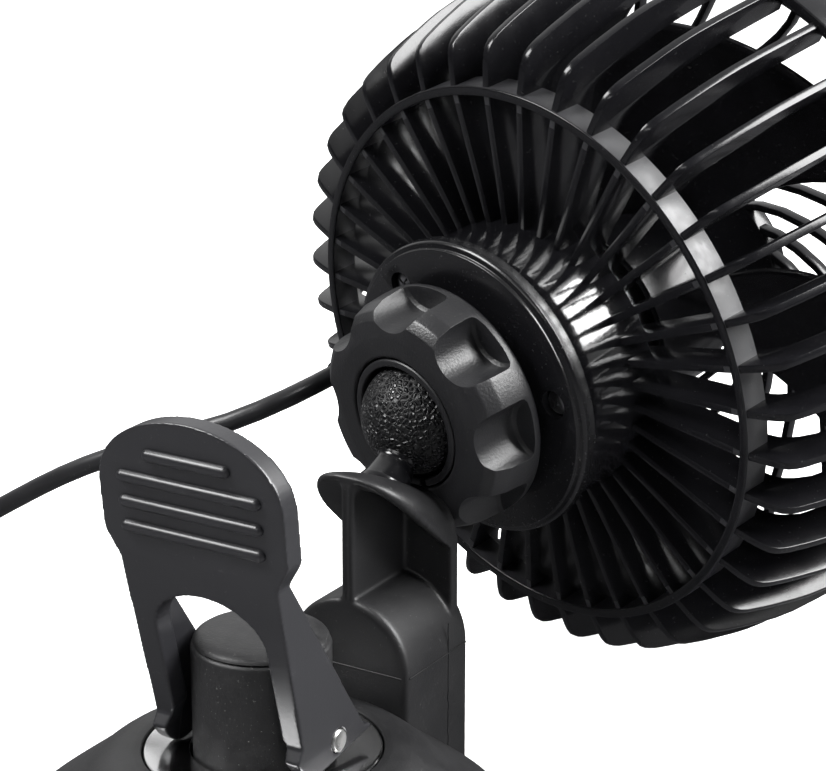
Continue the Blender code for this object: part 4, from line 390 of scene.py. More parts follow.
grip_acetal = moulded("dark_acetal", "#141416", "#1c1c1e", 0.38, 0.5, 0.010, dust=0.10)
print("plastics:", [finish.name for finish in bpy.data.materials])

# %% [markdown]
# ### The pebbled ball
# The ball has a leather-like pebble moulded into it, so that the socket grips it: low shiny
# bumps of about 1 mm, parted by narrow creases. Voronoi cells give them: the distance to a
# cell's edge falls into the crease, and a map range rounds it off on top. The same mask
# paints the creases darker than the tops, a painted shade in the creases.

# %% Pebbled plastic
def pebbled(name, colour, cell_mm, height_mm):
    finish, tree, shader = new_finish(name)
    place = add_node(tree, "TexCoord").outputs["Object"]
    wobble = cloud(tree, place, 1.5, 2.0).outputs["Color"]
    shifted = add_node(tree, "VectorMath", {0: wobble, 1: (0.4 * MM,) * 3}, operation="MULTIPLY")
    bent = add_node(tree, "VectorMath", {0: place, 1: shifted.outputs["Vector"]}, operation="ADD")
    cells = add_node(tree, "TexVoronoi", {"Vector": bent.outputs["Vector"],
                                          "Scale": 1000 / cell_mm}, feature="DISTANCE_TO_EDGE")
    dome = ranged(tree, cells.outputs["Distance"], 0.0, 0.34, 0.0, 1.0,
                  interpolation_type="SMOOTHERSTEP")
    # Painted shade: the creases get a darker colour (#060607) than the pebble tops.
    feed(tree, shader, mixed(tree, dome, linear("#060607"), linear(colour)),
         ranged(tree, dome, 0.0, 1.0, 0.50, 0.20), bumped(tree, dome, height_mm))
    shader.inputs["IOR"].default_value = PLASTIC_IOR
    return finish


ball_pebble = pebbled("pebbled_ball_abs", "#111113", 1.05, 0.30)
stem_abs = moulded("glossy_stem_abs", "#0c0c0e", "#151517", 0.20, 1.0, 0.006, dust=0.10)

# %% [markdown]
# ### Rubber, cord jacket and metals
# Rubber is matt and takes dust, and the cord's soft vinyl jacket is smoother with a slight
# sheen. Turned steel shows fine rings of tool marks, pressed steel a faint grain, and the
# polished washer hardly a mark.

# %% Rubber and vinyl
cup_rubber = moulded("soft_cup_rubber", "#161617", "#202021", 0.58, 0.8, 0.030, dust=0.40,
                     dust_mm=0.9, spread=0.16)
cord_vinyl = moulded("vinyl_cord_jacket", "#18181a", "#222224", 0.36, 1.6, 0.020, patch_mm=8,
                     dust=0.12, spread=0.10)
relief_vinyl = moulded("soft_vinyl_relief", "#161618", "#1f1f21", 0.46, 0.9, 0.020, dust=0.15)

# %% [markdown]
# One function makes all the metals. A broad cloud moves the tint and the roughness, as stains
# from handling do. The tool marks are a noise whose scale along each axis is given in marks for
# each metre, so the rings of a turned pin run round it. Each metal differs by numbers alone.

# %% Metals
def metal(name, colour, stain, roughness, marks, mark_height_mm, patch_mm=5.0):
    finish, tree, shader = new_finish(name)
    shader.inputs["Metallic"].default_value = 1.0
    place = add_node(tree, "TexCoord").outputs["Object"]
    stains = cloud(tree, place, patch_mm, 4.0).outputs["Fac"]
    feed(tree, shader, mixed(tree, stains, linear(colour), linear(stain)),
         ranged(tree, stains, 0.3, 0.7, roughness * 0.8, roughness * 1.3),
         marked(tree, place, marks, 3.0, mark_height_mm))
    return finish


washer_steel = metal("polished_washer_steel", "#e4e4e4", "#cfcfd0", 0.14, (700, 700, 700), 0.002)
pin_steel = metal("turned_pin_steel", "#f0f0ee", "#d8d8d6", 0.30, (300, 2500, 2500), 0.004)
screw_steel = metal("blackened_screw_steel", "#77777a", "#a2a2a4", 0.30, (1500, 1500, 1500), 0.004)
can_steel = metal("galvanised_can_steel", "#b8babc", "#9c9ea1", 0.34, (400, 400, 400), 0.006,
                  patch_mm=3.0)
spring_steel = metal("drawn_spring_steel", "#a9abad", "#8b8d90", 0.32, (900, 900, 900), 0.004)
turned_copper = metal("turned_copper", "#c8845c", "#a8643f", 0.30, (2500, 2500, 400), 0.005)
plug_nickel = metal("nickel_plated_brass", "#c9c6bd", "#b3afa4", 0.22, (800, 2500, 800), 0.003)
ferrite = moulded("pressed_ferrite", "#2a2a2c", "#363638", 0.62, 0.3, 0.030, dust=0.05)
print("finishes made:", len(bpy.data.materials))

# %% [markdown]
# ## The cord
# It leaves the relief behind the clamp disc, bends down past the arm, runs out of the picture to
# the left and winds into a tied spare coil. Such a cord is a two-core vinyl jacket of about
# 4.2 mm, springy enough to keep wide bends, so a smooth line runs through a few chosen points.

# %% The cord's line, mm
CORD_MM, COIL_AT, COIL_FLOOR = 4.2, (-150, -16), 3.4
COIL_INNER, COIL_PITCH, COIL_LAYERS, COIL_TURNS = 18.4, 4.68, 4, 8
OUTLET_RADIUS, OUTLET_TURN, RELIEF_MOUTH = 36.2, 175, 9.0
STRAIGHT_MM = 4.5
exit_mm = (HEAD @ (polar(OUTLET_RADIUS, OUTLET_TURN, RELIEF_MOUTH) * MM)) / MM
leaving = -(HEAD.to_3x3() @ Vector((0, 0, 1)))
ROUTE = [(-35.7, 61.6, 74.8), (-43.1, 54.2, 71.0), (-61.2, 46.5, 64.2), (-76.0, 42.6, 57.7),
         (-98.5, 42.0, 44.6), (-129, 40, 24), (-157, 30, 8), (-174, 11, 3.6)]


def coil_line():
    """Winds in, up one layer, out again, and so on, as a coil made by hand lies."""
    outer = COIL_INNER + COIL_PITCH * COIL_TURNS / COIL_LAYERS
    layer = tau * COIL_TURNS / COIL_LAYERS
    points = []
    for k in range(COIL_TURNS * 24 + 1):
        wound = tau * k / 24
        radius = outer - (outer - COIL_INNER) * abs((wound / layer + 1) % 2 - 1)
        climb = sum(min(max((wound - c * layer) / pi + 0.5, 0), 1)
                    for c in range(1, COIL_LAYERS))
        angle = pi + wound
        points.append((COIL_AT[0] + radius * cos(angle),
                       COIL_AT[1] + radius * sin(angle), COIL_FLOOR + COIL_PITCH * climb))
    return points


def eased(points, first_way, last_way, spacing):
    """Evenly spaced points on a smooth line with set directions at both ends."""
    p = [np.array(q, float) for q in points]
    chords = [np.linalg.norm(b - a) for a, b in zip(p, p[1:])]
    ways = [np.array(first_way, float)]
    for k in range(1, len(p) - 1):
        way = ((p[k] - p[k - 1]) / chords[k - 1] * chords[k]
               + (p[k + 1] - p[k]) / chords[k] * chords[k - 1])
        ways.append(way / np.linalg.norm(way))
    ways.append(np.array(last_way, float))
    dense = []
    for k, chord in enumerate(chords):
        for t in np.linspace(0, 1, 40, endpoint=False):
            dense.append((2 * t**3 - 3 * t**2 + 1) * p[k] + (t**3 - 2 * t**2 + t) * ways[k] * chord
                         + (3 * t**2 - 2 * t**3) * p[k + 1] + (t**3 - t**2) * ways[k + 1] * chord)
    dense = np.array([*dense, p[-1]])
    run = np.concatenate([[0], np.cumsum(np.linalg.norm(np.diff(dense, axis=0), axis=1))])
    at = np.linspace(0, run[-1], max(3, round(run[-1] / spacing)) + 1)
    return np.stack([np.interp(at, run, dense[:, axis]) for axis in range(3)], axis=1)


coil = coil_line()
(in_x, in_y, in_z), (out_x, out_y, out_z) = coil[0], coil[-1]
TAIL_END = (out_x, out_y - 30.5, 12.1)
free = eased([tuple(exit_mm), *ROUTE, (in_x, in_y + STRAIGHT_MM, in_z)],
             tuple(leaving), (0, -1, 0), 7.0)
tail = eased([(out_x, out_y - STRAIGHT_MM, out_z), TAIL_END], (0, -1, 0), (0, -1, 0), 6.0)
line_mm = np.vstack([free, coil, tail])

# %% [markdown]
# The tube is a ring of points carried along the line, turned by the smallest turn at each step
# so that it never twists. Its ends are closed a little inside the relief and the plug.

# %% Sweep a round bar along a line
def skinned(bm, rings):
    """Joins rings of as many points each to one closed skin."""
    for near, far in zip(rings, rings[1:]):
        for j in range(len(near)):
            n = (j + 1) % len(near)
            bm.faces.new((near[j], near[n], far[n], far[j]))
    bm.faces.new(rings[0][::-1])
    bm.faces.new(rings[-1])


def swept(points, radius, around_count=20):
    bm = bmesh.new()
    points = [Vector(p) for p in points]
    side, rings = None, []
    for k, point in enumerate(points):
        way = (points[min(k + 1, len(points) - 1)] - points[max(k - 1, 0)]).normalized()
        if side is None:
            side = way.orthogonal().normalized()
        side = (side - way * side.dot(way)).normalized()
        other = way.cross(side)
        size = radius[k] if hasattr(radius, "__len__") else radius
        rings.append([bm.verts.new(point + side * size * cos(a) + other * size * sin(a))
                      for a in np.linspace(0, tau, around_count, endpoint=False)])
    skinned(bm, rings)
    bmesh.ops.recalc_face_normals(bm, faces=bm.faces)
    return bm

# %% [markdown]
# The jacket is extruded vinyl, so one tube along the line is the whole cord. Its first part has
# to follow the head as it swivels, while the coil lies still, but here the whole tube is one fixed
# piece. The plug and the tie belong to it.

# %% The cord
cord = finished("cord_tube", swept(line_mm, CORD_MM / 2, 24 if fine else 12), FLOOR, cord_vinyl,
                None, "rubber", "cord", "cord_coil", "cord_tail")
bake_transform(cord)

# %% [markdown]
# ## The cage's rear half
# One injection moulding: a neck that holds the motor, a back plate, forty ribs that bend round
# from the back to the side, a band that ties them, and a rim. The ribs are thin plates on edge
# with slightly rounded edges. One is a flat outline with a depth, repeated. The rest is spun.

# %% One rib of the cage
RIB = [(29.5, 31.4), (56.5, 31.4), *through([(60.3, 31.5), (68.4, 33.9), (71.5, 40.4)], 5),
       *through([(72.4, 43.4), (75.7, 58), (77.8, 85.75)], 4),
       *through([(71.6, 85.75), (69.6, 66), (65.3, 46.6)], 4),
       *through([(63.6, 43.4), (61.2, 40.9), (57.6, 39.8)], 3), (29.5, 39.8)]
rib = prism(RIB, 1.7, "XZ", rounding=0.24, segments=2)
print("rib faces", len(rib.faces))

# %% [markdown]
# The plate behind the fan carries the motor and the three screw bosses, and the boss of the cord
# outlet stands on the neck's left side, tied to it by a short bridge.

# %% Rear half of the cage
RIBS, RIB_PHASE = 40, 6.9
SCREW_CIRCLE, SCREW_PHASE, LUG_CIRCLE, LUG_PHASE = 25.6, -7, 73.6, 11.4
NECK_WITHIN, NECK_BELOW = 31, 39
BAND_FROM, BAND_TO, WIDE_FACE_MM2 = 58, 60.5, 4.5


def screw_place(k, height):
    return polar(SCREW_CIRCLE, 120 * k + SCREW_PHASE, height)


def lug_place(k, height):
    return polar(LUG_CIRCLE, LUG_PHASE + 120 * k, height)


neck = spun([(0, 21.2), (17.8, 21.2), (17.8, 29.2), (19.8, 29.2), (19.8, 21.2), (28.4, 21.2),
             (28.4, 38.5), (30.6, 38.5), (30.6, 18), (0, 18)], 128, 0.35)
band = spun([(60.3, 37.8), (60.3, 30.95), (58.3, 30.95), (58.3, 37.8)], 160, 0.35, ring=True)
rim = spun([(78.7, 90.0), (78.7, 81.5), (76.3, 81.5), (76.3, 90.0)], 160, 0.4, ring=True)
lugs = [rod(3.1, lug_place(k, 80), lug_place(k, 89.7), 24, rounding=0.3) for k in range(3)]
bosses = [rod(3.2, screw_place(k, 19.6), screw_place(k, 27.0), 24, rounding=0.3) for k in range(3)]
outlet = Matrix.Translation(polar(OUTLET_RADIUS, OUTLET_TURN))
socket = spun([(4.6, 29.5), (4.6, 20.5), (3.5, 20.5), (3.5, 24.0), (0, 24.0), (0, 29.5)], 48, 0.35)
socket = moved(socket, outlet)
bridge = prism([(29.4, -2.3), (33.0, -2.3), (33.0, 2.3), (29.4, 2.3)], 5.6, "XY", (0, 0, 25.0),
               0.3)
cage = joined([neck, band, rim, *lugs, *bosses, socket, moved(bridge, turned(OUTLET_TURN)),
               joined([rib], around(RIBS, RIB_PHASE))])
for face in cage.faces:
    middle = face.calc_center_median()
    on_neck = middle.xy.length < NECK_WITHIN and middle.z < NECK_BELOW
    on_band = BAND_FROM < middle.xy.length < BAND_TO and face.calc_area() > WIDE_FACE_MM2
    face.material_index = 1 if on_neck else 2 if on_band else 0
rear_half = finished("cage_rear_half", cage, HEAD, cage_abs, "head", "black_plastic", "rear_guard")
for finish in (cage_gloss, band_abs):
    rear_half.data.materials.append(finish)

# %% [markdown]
# ## The cage's front half
# It faces away from the camera. A flat grille with swirled ribs guards the blades, with a plain
# badge at its middle and three small screws through its rim.

# %% Front half of the cage
def swirl(share):
    return polar(19.0 + 51.6 * share, 62 * (1 - (1 - share) ** 2))


line = [swirl(s) for s in np.linspace(0, 1, 13)]
HALF_WIDTH = 0.8
left, right = [], []
for k, point in enumerate(line):
    way = (line[min(k + 1, len(line) - 1)] - line[max(k - 1, 0)]).normalized() * HALF_WIDTH
    left.append((point.x - way.y, point.y + way.x))
    right.append((point.x + way.y, point.y - way.x))
swirl_rib = prism(right + left[::-1], 2.6, "XY", (0, 0, 92.0), 0.35)
face_rim = spun([(78.3, 93.7), (78.7, 93.3), (78.7, 90.3), (69.5, 90.3), (69.5, 93.7)], 160, 0.4,
                ring=True)
face_hub = spun([(0, 93.4), (17.3, 93.4), (17.3, 94.9), (20.5, 94.9), (20.5, 90.3), (0, 90.3)], 96,
                0.3)
grille = joined([face_rim, face_hub, joined([swirl_rib], around(20))])
finished("cage_front_half", grille, HEAD, cage_abs, "head", "black_plastic", "front_guard")
badge = spun([(0, 95.3), (15.4, 95.25), (16.6, 94.9), (17.0, 94.3), (17.0, 93.7), (0, 93.7)], 96,
             0.15)
finished("badge", badge, HEAD, disc_abs, "head", "black_plastic", "guard_badge")

# %% [markdown]
# ## The clamp: disc, screws, nut and grip ring
# Three parts sit one behind the other on the fan's axis. The disc is screwed to the cage's neck
# and carries the half socket. The nut is threaded over it and squeezes the split grip ring on to
# the ball. The disc is a turned outline with a polished face and three wells for the screws.

# %% Disc with its screw wells
plate = spun([(32.5, 17.7), (32.5, 15.0), (32.1, 14.45), (31.1, 14.2), (31.1, 13.5), (17.9, 13.5),
              (17.9, 15.9), (22.1, 15.9), (22.1, 17.7)], 160, 0.22, ring=True)
plate = cut(plate, [rod(3.0, screw_place(k, 12), screw_place(k, 15.8), 40) for k in range(3)])
FACE_FROM, FACE_TO, WELL_REACH = 12.9, 14, 3.3
mouths = [e for e in creased(plate, 60)
          if all(FACE_FROM < v.co.z < FACE_TO and abs(v.co.xy.length - SCREW_CIRCLE) < WELL_REACH
                 for v in e.verts)]
soften(plate, mouths, 0.22)
finished("clamp_disc", plate, HEAD, disc_abs, "head", "black_plastic", "socket_plate")

# %% [markdown]
# The screws are cold-formed pan heads with a punched cross. Head and shank are spun as one, and
# two crossed bars cut the recess. Each stands at its own turn, as screws driven by hand do.

# %% Cross-recessed screws
def pan_screw(radius, height, shank, length):
    """Head's top at z = 0, facing -Z; the cross recess is cut into it."""
    head = spun([(0, 0), (radius * 0.55, 0.08), (radius * 0.9, height * 0.35),
                 (radius, height * 0.7), (radius, height), (shank, height), (shank, length),
                 (0, length)], 40, 0.08)
    long, half = radius * 0.62, 0.28
    arms = [prism([(-long, -half), (long, -half), (long, half), (-long, half)], 1.5)
            for _ in range(2)]
    return cut(head, [arms[0], moved(arms[1], turned(90))])


for k in range(3):
    turn = turned(25 + 50 * k)
    finished(f"disc_screw_piece_{k + 1}", pan_screw(2.7, 1.2, 1.2, 10.8),
             HEAD @ Matrix.Translation(screw_place(k, 14.3) * MM) @ turn,
             screw_steel, "head", "steel", f"disc_screw_{k + 1}")
    finished(f"guard_screw_piece_{k + 1}", pan_screw(2.3, 1.2, 1.2, 9.0),
             HEAD @ Matrix.Translation(lug_place(k, 95.2) * MM) @ turned(180, "X") @ turn,
             screw_steel, "head", "steel", f"guard_screw_{k + 1}")

# %% [markdown]
# The nut's flutes are scoops that a ball-nosed cutter left in the mould: round channels running
# along the side, which end short of the rear rim in a rounded end. They are cut with round bars
# whose ends are domes, and the lands between them keep the nut's turned outline.

# %% Fluted nut
nut = spun([(25.0, 9.4), (25.5, 8.9), (25.5, 6.45), (25.09, 0.86), (23.98, -2.48), (22.05, -4.08),
            (18.6, -4.5), (14.8, -4.5), (14.3, -4.0), (14.3, -2.3), (17.9, -2.3), (17.9, 9.4)],
           192, 0.5, ring=True)
FLUTES, FLUTE_CIRCLE, FLUTE_PHASE, LANDS_FROM, LANDS_TO = 8, 27.2, -1.5, 19.5, 7.6
FLUTE = [(0, -12), (7.1, -12), (7.1, 5.6), (6.9, 6.5), (6.2, 7.1), (4.0, 7.4), (0, 7.4)]
places = [polar(FLUTE_CIRCLE, 360 / FLUTES * k + FLUTE_PHASE) for k in range(FLUTES)]
nut = cut(nut, [moved(spun(FLUTE, 64), Matrix.Translation(place)) for place in places])
soften(nut, [e for e in creased(nut, 32)
             if all(v.co.xy.length > LANDS_FROM and v.co.z < LANDS_TO for v in e.verts)], 0.35)
finished("clamp_nut_piece", nut, HEAD, knob_nylon, "nut", "black_plastic", "clamp_nut", sharp=45)

# %% [markdown]
# The grip ring is a short acetal band, moulded with a slot so that the nut can squeeze it on to
# the ball. Little of it shows in the nut's opening. It is spun, and the slot is cut out.

# %% Split grip ring
grip = spun([(12.3, -0.4), (14.0, -0.4), (14.0, -4.1), (13.7, -4.4), (12.6, -4.4),
             (12.35, -4.1)], 96, 0.12, ring=True)
split = prism([(9, -0.8), (17, -0.8), (17, 0.8), (9, 0.8)], 8, "XY", (0, 0, -2.4))
finished("grip_ring_piece", cut(grip, [moved(split, turned(75))]), HEAD, grip_acetal, "tilt",
         "grey_plastic", "grip_ring")

# %% [markdown]
# ## The ball and its stem
# One moulding again: a pebbled ball on a short smooth stem that leans back to the arm's hood. The
# stem flares where it meets the hood, and the mould's parting line runs up it as a fine raised
# double line. Two thin bars laid on the stem's front give that line.

# %% Ball and stem
FOOT_MM, BALL_RADIUS, PEBBLES_END = Vector((0, 43.9, 67.3)), 12, 11.1
stem_way = BALL_MM - FOOT_MM
reach = stem_way.length
STEM = Matrix.Translation(FOOT_MM * MM) @ stem_way.to_track_quat("Z", "X").to_matrix().to_4x4()
dome = [(BALL_RADIUS * sin(a), reach + BALL_RADIUS * cos(a))
        for a in np.linspace(0, pi - 0.37, 40)]
dome[0] = (0, reach + BALL_RADIUS)
shape = dome + through([(4.30, reach - 11.35), (4.1, reach - 12.2), (4.5, 3.4), (5.0, 1.6),
                        (5.6, 0.0)], 4)[1:] + [(5.6, -1.6), (0, -1.6)]
ball = spun(shape, 128)
line_bars = [swept([(side, 4.35, 0.6), (side, 3.97, 4.0), (side, 3.92, reach - 12.0)], 0.16, 8)
             for side in (-0.45, 0.45)]
ball = joined([ball, *line_bars])
for face in ball.faces:
    face.material_index = int(face.calc_center_median().z < reach - PEBBLES_END)
stem = finished("ball_and_stem", ball, STEM, ball_pebble, "base", "black_plastic", "ball_stem")
stem.data.materials.append(stem_abs)

# %% [markdown]
# ## The lever
# A bent plate on two legs: the plate leans back from the crease above the deck, bends upright at
# the neck and widens to a thumb pad with four raised bars. The legs turn about the pin, and their
# round undersides are cams. The lever is what its side view and its front view have in common.

# %% Lever outlines, mm above the deck
PIN_Y, PIN_Z, PIN_HOLE, CAM_LOW, CAM_RISE = 1.0, 4.8, 2.45, 4.5, 6.875
PIN_AT = Vector((0, PIN_Y, PIN_Z))


def offset_line(line, depth):
    found = []
    for k, (a, b) in enumerate(line):
        p, q = line[max(k - 1, 0)], line[min(k + 1, len(line) - 1)]
        way = Vector((q[0] - p[0], q[1] - p[1])).normalized()
        found.append((a + way.y * depth, b - way.x * depth))
    return found


front_line = [(-11.2, 7.8)] + through([(-12.2, 12.0), (-18.9, 39.5), (-20.2, 47.0), (-21.6, 60.0),
                                       (-22.4, 71.5)], 4)
back_line = offset_line(front_line, 4.7)
cam_edge = []
for turn in np.linspace(0, radians(62), 12):
    arm = CAM_LOW + CAM_RISE * turn
    cam_edge.append((PIN_Y - arm * sin(turn) - CAM_RISE * cos(turn),
                     PIN_Z - arm * cos(turn) + CAM_RISE * sin(turn)))
side_view = (front_line + [p for p in back_line[::-1] if p[1] > 45.5]
             + [(-15.5, 42.5), (10.0, 4.6), (11.6, 4.3), (12.2, 3.7), (11.6, 3.15), (10.4, 3.0)]
             + cam_edge)
half_view = ([(16.8, -1.0), (17.15, 20.0), (17.6, 42.2), (18.0, 43.2), (20.0, 46.6), (20.4, 47.7)]
             + [(20.5 * cos(a), 57.0 + 14.5 * sin(a) ** (2 / 2.15))
                for a in np.linspace(0.02, pi / 2, 22)])
front_view = half_view + [(-x, z) for x, z in half_view[-2::-1]]

# %% [markdown]
# The side view gets its depth and is cut to the front view. Then the room for the post is cut
# out: a hollow behind the plate, a gate between the legs, and the post's path as the lever turns,
# taken as ten posts. A fine remesh rounds every edge, and the pad's bars are tapered rods.

# %% Lever
THROUGH, POST_CLEAR, POST_TURNS, POST_STEP = 90.0, 14.0, 10, 7.5
lever = prism(side_view, 42.0, "YZ")
lever = cut(lever, [prism(front_view, THROUGH, "XZ")], "INTERSECT")
hollow = prism([back_line[0], *back_line[1:16], (20, back_line[15][1]), (20, -2),
                (back_line[0][0] - 2.3, -2)], 28.4, "YZ")
gate_top = [(12.4 * cos(a), 28.0 + 9.0 * sin(a)) for a in np.linspace(0, pi, 25)]
gate = prism([(12.4, -2.0), *gate_top, (-12.4, -2.0)], THROUGH, "XZ")
swept_posts = []
for k in range(1, POST_TURNS + 1):
    turn = Matrix.Rotation(-radians(POST_STEP * k), 3, "X")
    swept_posts.append(rod(POST_CLEAR, PIN_AT + turn @ Vector((0, -1, 24)),
                           PIN_AT + turn @ Vector((0, -1, -24)), 64))
hole = rod(PIN_HOLE, PIN_AT - Vector((25, 0, 0)), PIN_AT + Vector((25, 0, 0)), 32)
lever = melted(cut(lever, [hollow, gate, *swept_posts, hole]), 0.30, 2)
BAR_HALVES, BAR_RADIUS, BAR_LOWEST, BAR_PITCH = (15.9, 15.9, 15.9, 9.6), 1.2, 49.2, 5.0
bars = []
for k, half in enumerate(BAR_HALVES):
    height = BAR_LOWEST + BAR_PITCH * k
    depth = np.interp(height, [z for _, z in front_line], [y for y, _ in front_line])
    ends = [(half - BAR_RADIUS + BAR_RADIUS * sin(a), BAR_RADIUS * cos(a))
            for a in np.linspace(1.45, 0, 6)]
    stations = [(-x, r) for x, r in ends] + ends[::-1]
    bars.append(swept([(x, depth - 0.1, height) for x, _ in stations],
                      [r for _, r in stations]))
finished("cam_lever_piece", joined([lever, *bars]), DECK, lever_abs, "lever", "black_plastic",
         "cam_lever", sharp=50)

# %% [markdown]
# ## The arm and the foot's housing
# The arm rises from the foot behind the post: an arched block, and on it a hood like a cowl with
# a rib down its open front and a wall behind, from which the ball's stem leans back. The hood is
# a loft of arches, hollowed to the right of the rib.

# %% The hood
HOOD_HALF, HOOD_FRONT, HOOD_LONG, HOOD_WALL = 12.7, 29.7, 19.9, 2.1
STATIONS, ARCH_STEPS = 28, 36


def hood_section(share, grow):
    half = HOOD_HALF * (1 - (1 - share) ** 2.8) ** (1 / 2.8)
    rise = (1 - (half / HOOD_HALF) ** 2.5) ** (1 / 2.5)
    return half + grow, 45.0 - 18.6 * (1 - rise), 45.8 - 3.2 * share - 4.6 * share**2 + grow


def hood_loft(grow, first, last, drop):
    bm = bmesh.new()
    rows = []
    for k in range(STATIONS + 1):
        share = first + (last - first) * (k / STATIONS) ** 1.7
        half, low, crown = hood_section(min(max(share, 0), 1), grow)
        row = [(-half, low - drop)] if drop else []
        for a in np.linspace(0, pi, ARCH_STEPS + 1):
            across, tall = -cos(a), abs(sin(a)) ** (2 / 2.5)
            row.append((half * copysign(abs(across) ** (2 / 2.5), across),
                        low + (crown - low) * tall))
        row += [(half, low - drop)] if drop else []
        rows.append([bm.verts.new((x, HOOD_FRONT + HOOD_LONG * share, z)) for x, z in row])
    skinned(bm, rows)
    bmesh.ops.triangulate(bm, faces=bm.faces)
    bmesh.ops.recalc_face_normals(bm, faces=bm.faces)
    return bm


right_half = prism([(0, 0), (20, 0), (20, 80), (0, 80)], 60, "XZ", (0, 40, 0))
cavity = cut(hood_loft(-HOOD_WALL, HOOD_WALL / HOOD_LONG, 1.3, 18.6), [right_half], "INTERSECT")
hood = cut(hood_loft(0, 0.012, 1, 0), [cavity])
print("hood faces", len(hood.faces))

# %% [markdown]
# The other shells of the arm are the arched block, the wall that closes the hood behind and the
# web in its mouth. They are melted together with soft inner corners. The mould's parting lines
# and the ragged line of flash down each side are thin bars laid on the skin.

# %% Arm
def arch_outline(half, centre, foot):
    return ([(half, foot)] + [(half * cos(a), centre + half * sin(a))
                              for a in np.linspace(0, pi, 41)] + [(-half, foot)])


block = prism(arch_outline(14.2, 5.6, -23.8), 24.0, "XZ", (0, 41.5, 0), 1.3, 3)
_, end_low, end_crown = hood_section(1, 0)
wall_top = [(HOOD_HALF * copysign(abs(cos(a)) ** 0.8, cos(a)),
             end_low + (end_crown - end_low) * abs(sin(a)) ** 0.8)
            for a in np.linspace(0, pi, 33)]
wall = prism([(HOOD_HALF, 5.6), *wall_top, (-HOOD_HALF, 5.6)], 2.6, "XZ", (0, 50.5, 0))
web_top = [(HOOD_FRONT + HOOD_LONG * s, hood_section(s, 0)[2] - 1.05)
           for s in np.linspace(0.02, 1, 20)]
web = prism([(29.9, 15), *web_top, (50.5, web_top[-1][1]), (50.5, 15)], 2.8, "YZ")
for edge_x in (-0.75, 0.75):
    web = joined([web, rod(0.28, (edge_x, 29.85, 18.5), (edge_x, 29.85, 43.5), 12)])
arm = melted(joined([block, hood, wall, web]), 0.42, 3)
marks = [swept([(x, 30.6, 5.4), (x, 52.4, 5.4)], 0.14, 8) for x in (-14.24, 14.24)]
marks.append(swept([(-12.9, 29.47, 5.4), (12.9, 29.47, 5.4)], 0.12, 8))
jagged = [(45.5 + 0.5 * noise.noise(Vector((0, 0, z * 0.55))), z) for z in np.linspace(-20, 12, 40)]
marks += [swept([(x, y, z) for y, z in jagged], 0.13, 8) for x in (14.22, -14.22)]
print("arm faces", len(arm.faces))

# %% [markdown]
# The foot's housing is a shallow cone that covers the suction cup. Its deck holds the polished
# washer that the cams press on, and a short sleeve guides the post.

# %% Housing with its arm
cone = through([(25.0, 0.0), (28.51, -0.8), (31.99, -3.0), (36.0, -6.4), (46.71, -14.6),
                (49.49, -17.5), (51.0, -20.5)], 4)
shell = spun([*cone, (51.0, -25.0), (48.4, -25.0), (48.4, -20.9), (47.1, -18.7), (45.0, -16.6),
              (34.4, -8.6), (30.6, -5.3), (29.0, -4.3), (15.3, -4.3), (15.3, -7.9), (13.9, -7.9),
              (13.9, -1.9), (23.4, -1.9), (23.4, 0.0)], 192, 0.25, ring=True)
finished("foot_housing_and_arm", joined([shell, arm, *marks]), DECK, arm_nylon, "base",
         "black_plastic", "base_housing", sharp=60)

# %% [markdown]
# ## The post, its pin, the washer and the cup
# The post pulls the cup's middle up when the lever is thrown. It is stippled nylon with pale
# dust, under a plain cap, with a bright turned pin across it and a polished steel washer round
# it. The cup is plain rubber with one sealing groove under its rim. All of them are turned shapes.

# %% Post, cap, pin, washer and cup
post = spun([(0, 22.2), (12.9, 22.2), (13.5, 21.6), (13.5, -18.7), (19.0, -18.7), (19.0, -21.7),
             (0, -21.7)], 96, 0.3)
across = rod(PIN_HOLE, PIN_AT - Vector((20, 0, 0)), PIN_AT + Vector((20, 0, 0)), 32)
post = cut(post, [across, rod(4.3, (0, 0, 26), (0, 0, 17.9), 32)])
finished("post_piece", post, DECK, post_nylon, "post", "black_plastic", "cup_post")
cap = spun([(0, 24.3), *through([(9.0, 24.25), (11.2, 23.9), (12.6, 23.2), (13.1, 22.5)], 4),
            (4.0, 22.5), (4.0, 18.5), (0, 18.5)], 96)
finished("post_cap_piece", cap, DECK, post_nylon, "post", "black_plastic", "post_cap")
pin = spun([(0, 17.0), (1.0, 17.05), (1.7, 17.15), (2.0, 17.2), (2.3, 16.85), (2.3, -16.85),
            (2.0, -17.2), (1.7, -17.15), (1.0, -17.05), (0, -17.0)], 48, 0.05)
finished("pivot_pin_piece", moved(pin, Matrix.Translation(PIN_AT) @ turned(90, "Y")), DECK,
         pin_steel, "post", "steel", "pivot_pin")
washer = spun([(22.7, 0.0), (23.1, -0.4), (23.1, -1.6), (14.1, -1.6), (14.1, 0.0)], 192, 0.2,
              ring=True)
finished("thrust_washer_piece", washer, DECK, washer_steel, "base", "steel", "thrust_washer")
cup = spun([(0, 6), (20, 6), (22.7, 2.7), (52.5, 2.7), (53, 2.2), (53, 0.5), (52.5, 0), (42, 0),
            (40.8, 0.9), (39.6, 0), (0, 0)], 192, 0.3)
finished("suction_cup_piece", cup, FLOOR, cup_rubber, "base", "rubber", "suction_cup")

# %% [markdown]
# ## The fan and its motor
# Five swept blades on a hub cup, moulded in one. A blade is a bent sheet with a thickness: a grid
# whose points are placed by span, sweep, pitch, rake and camber. The motor's can is a drawn steel
# cup.

# %% Rotor
BLADES, BLADE_ROOT, BLADE_REACH, BLADE_SWEEP, BLADE_RAKE = 5, 20.6, 46.3, 18, 9


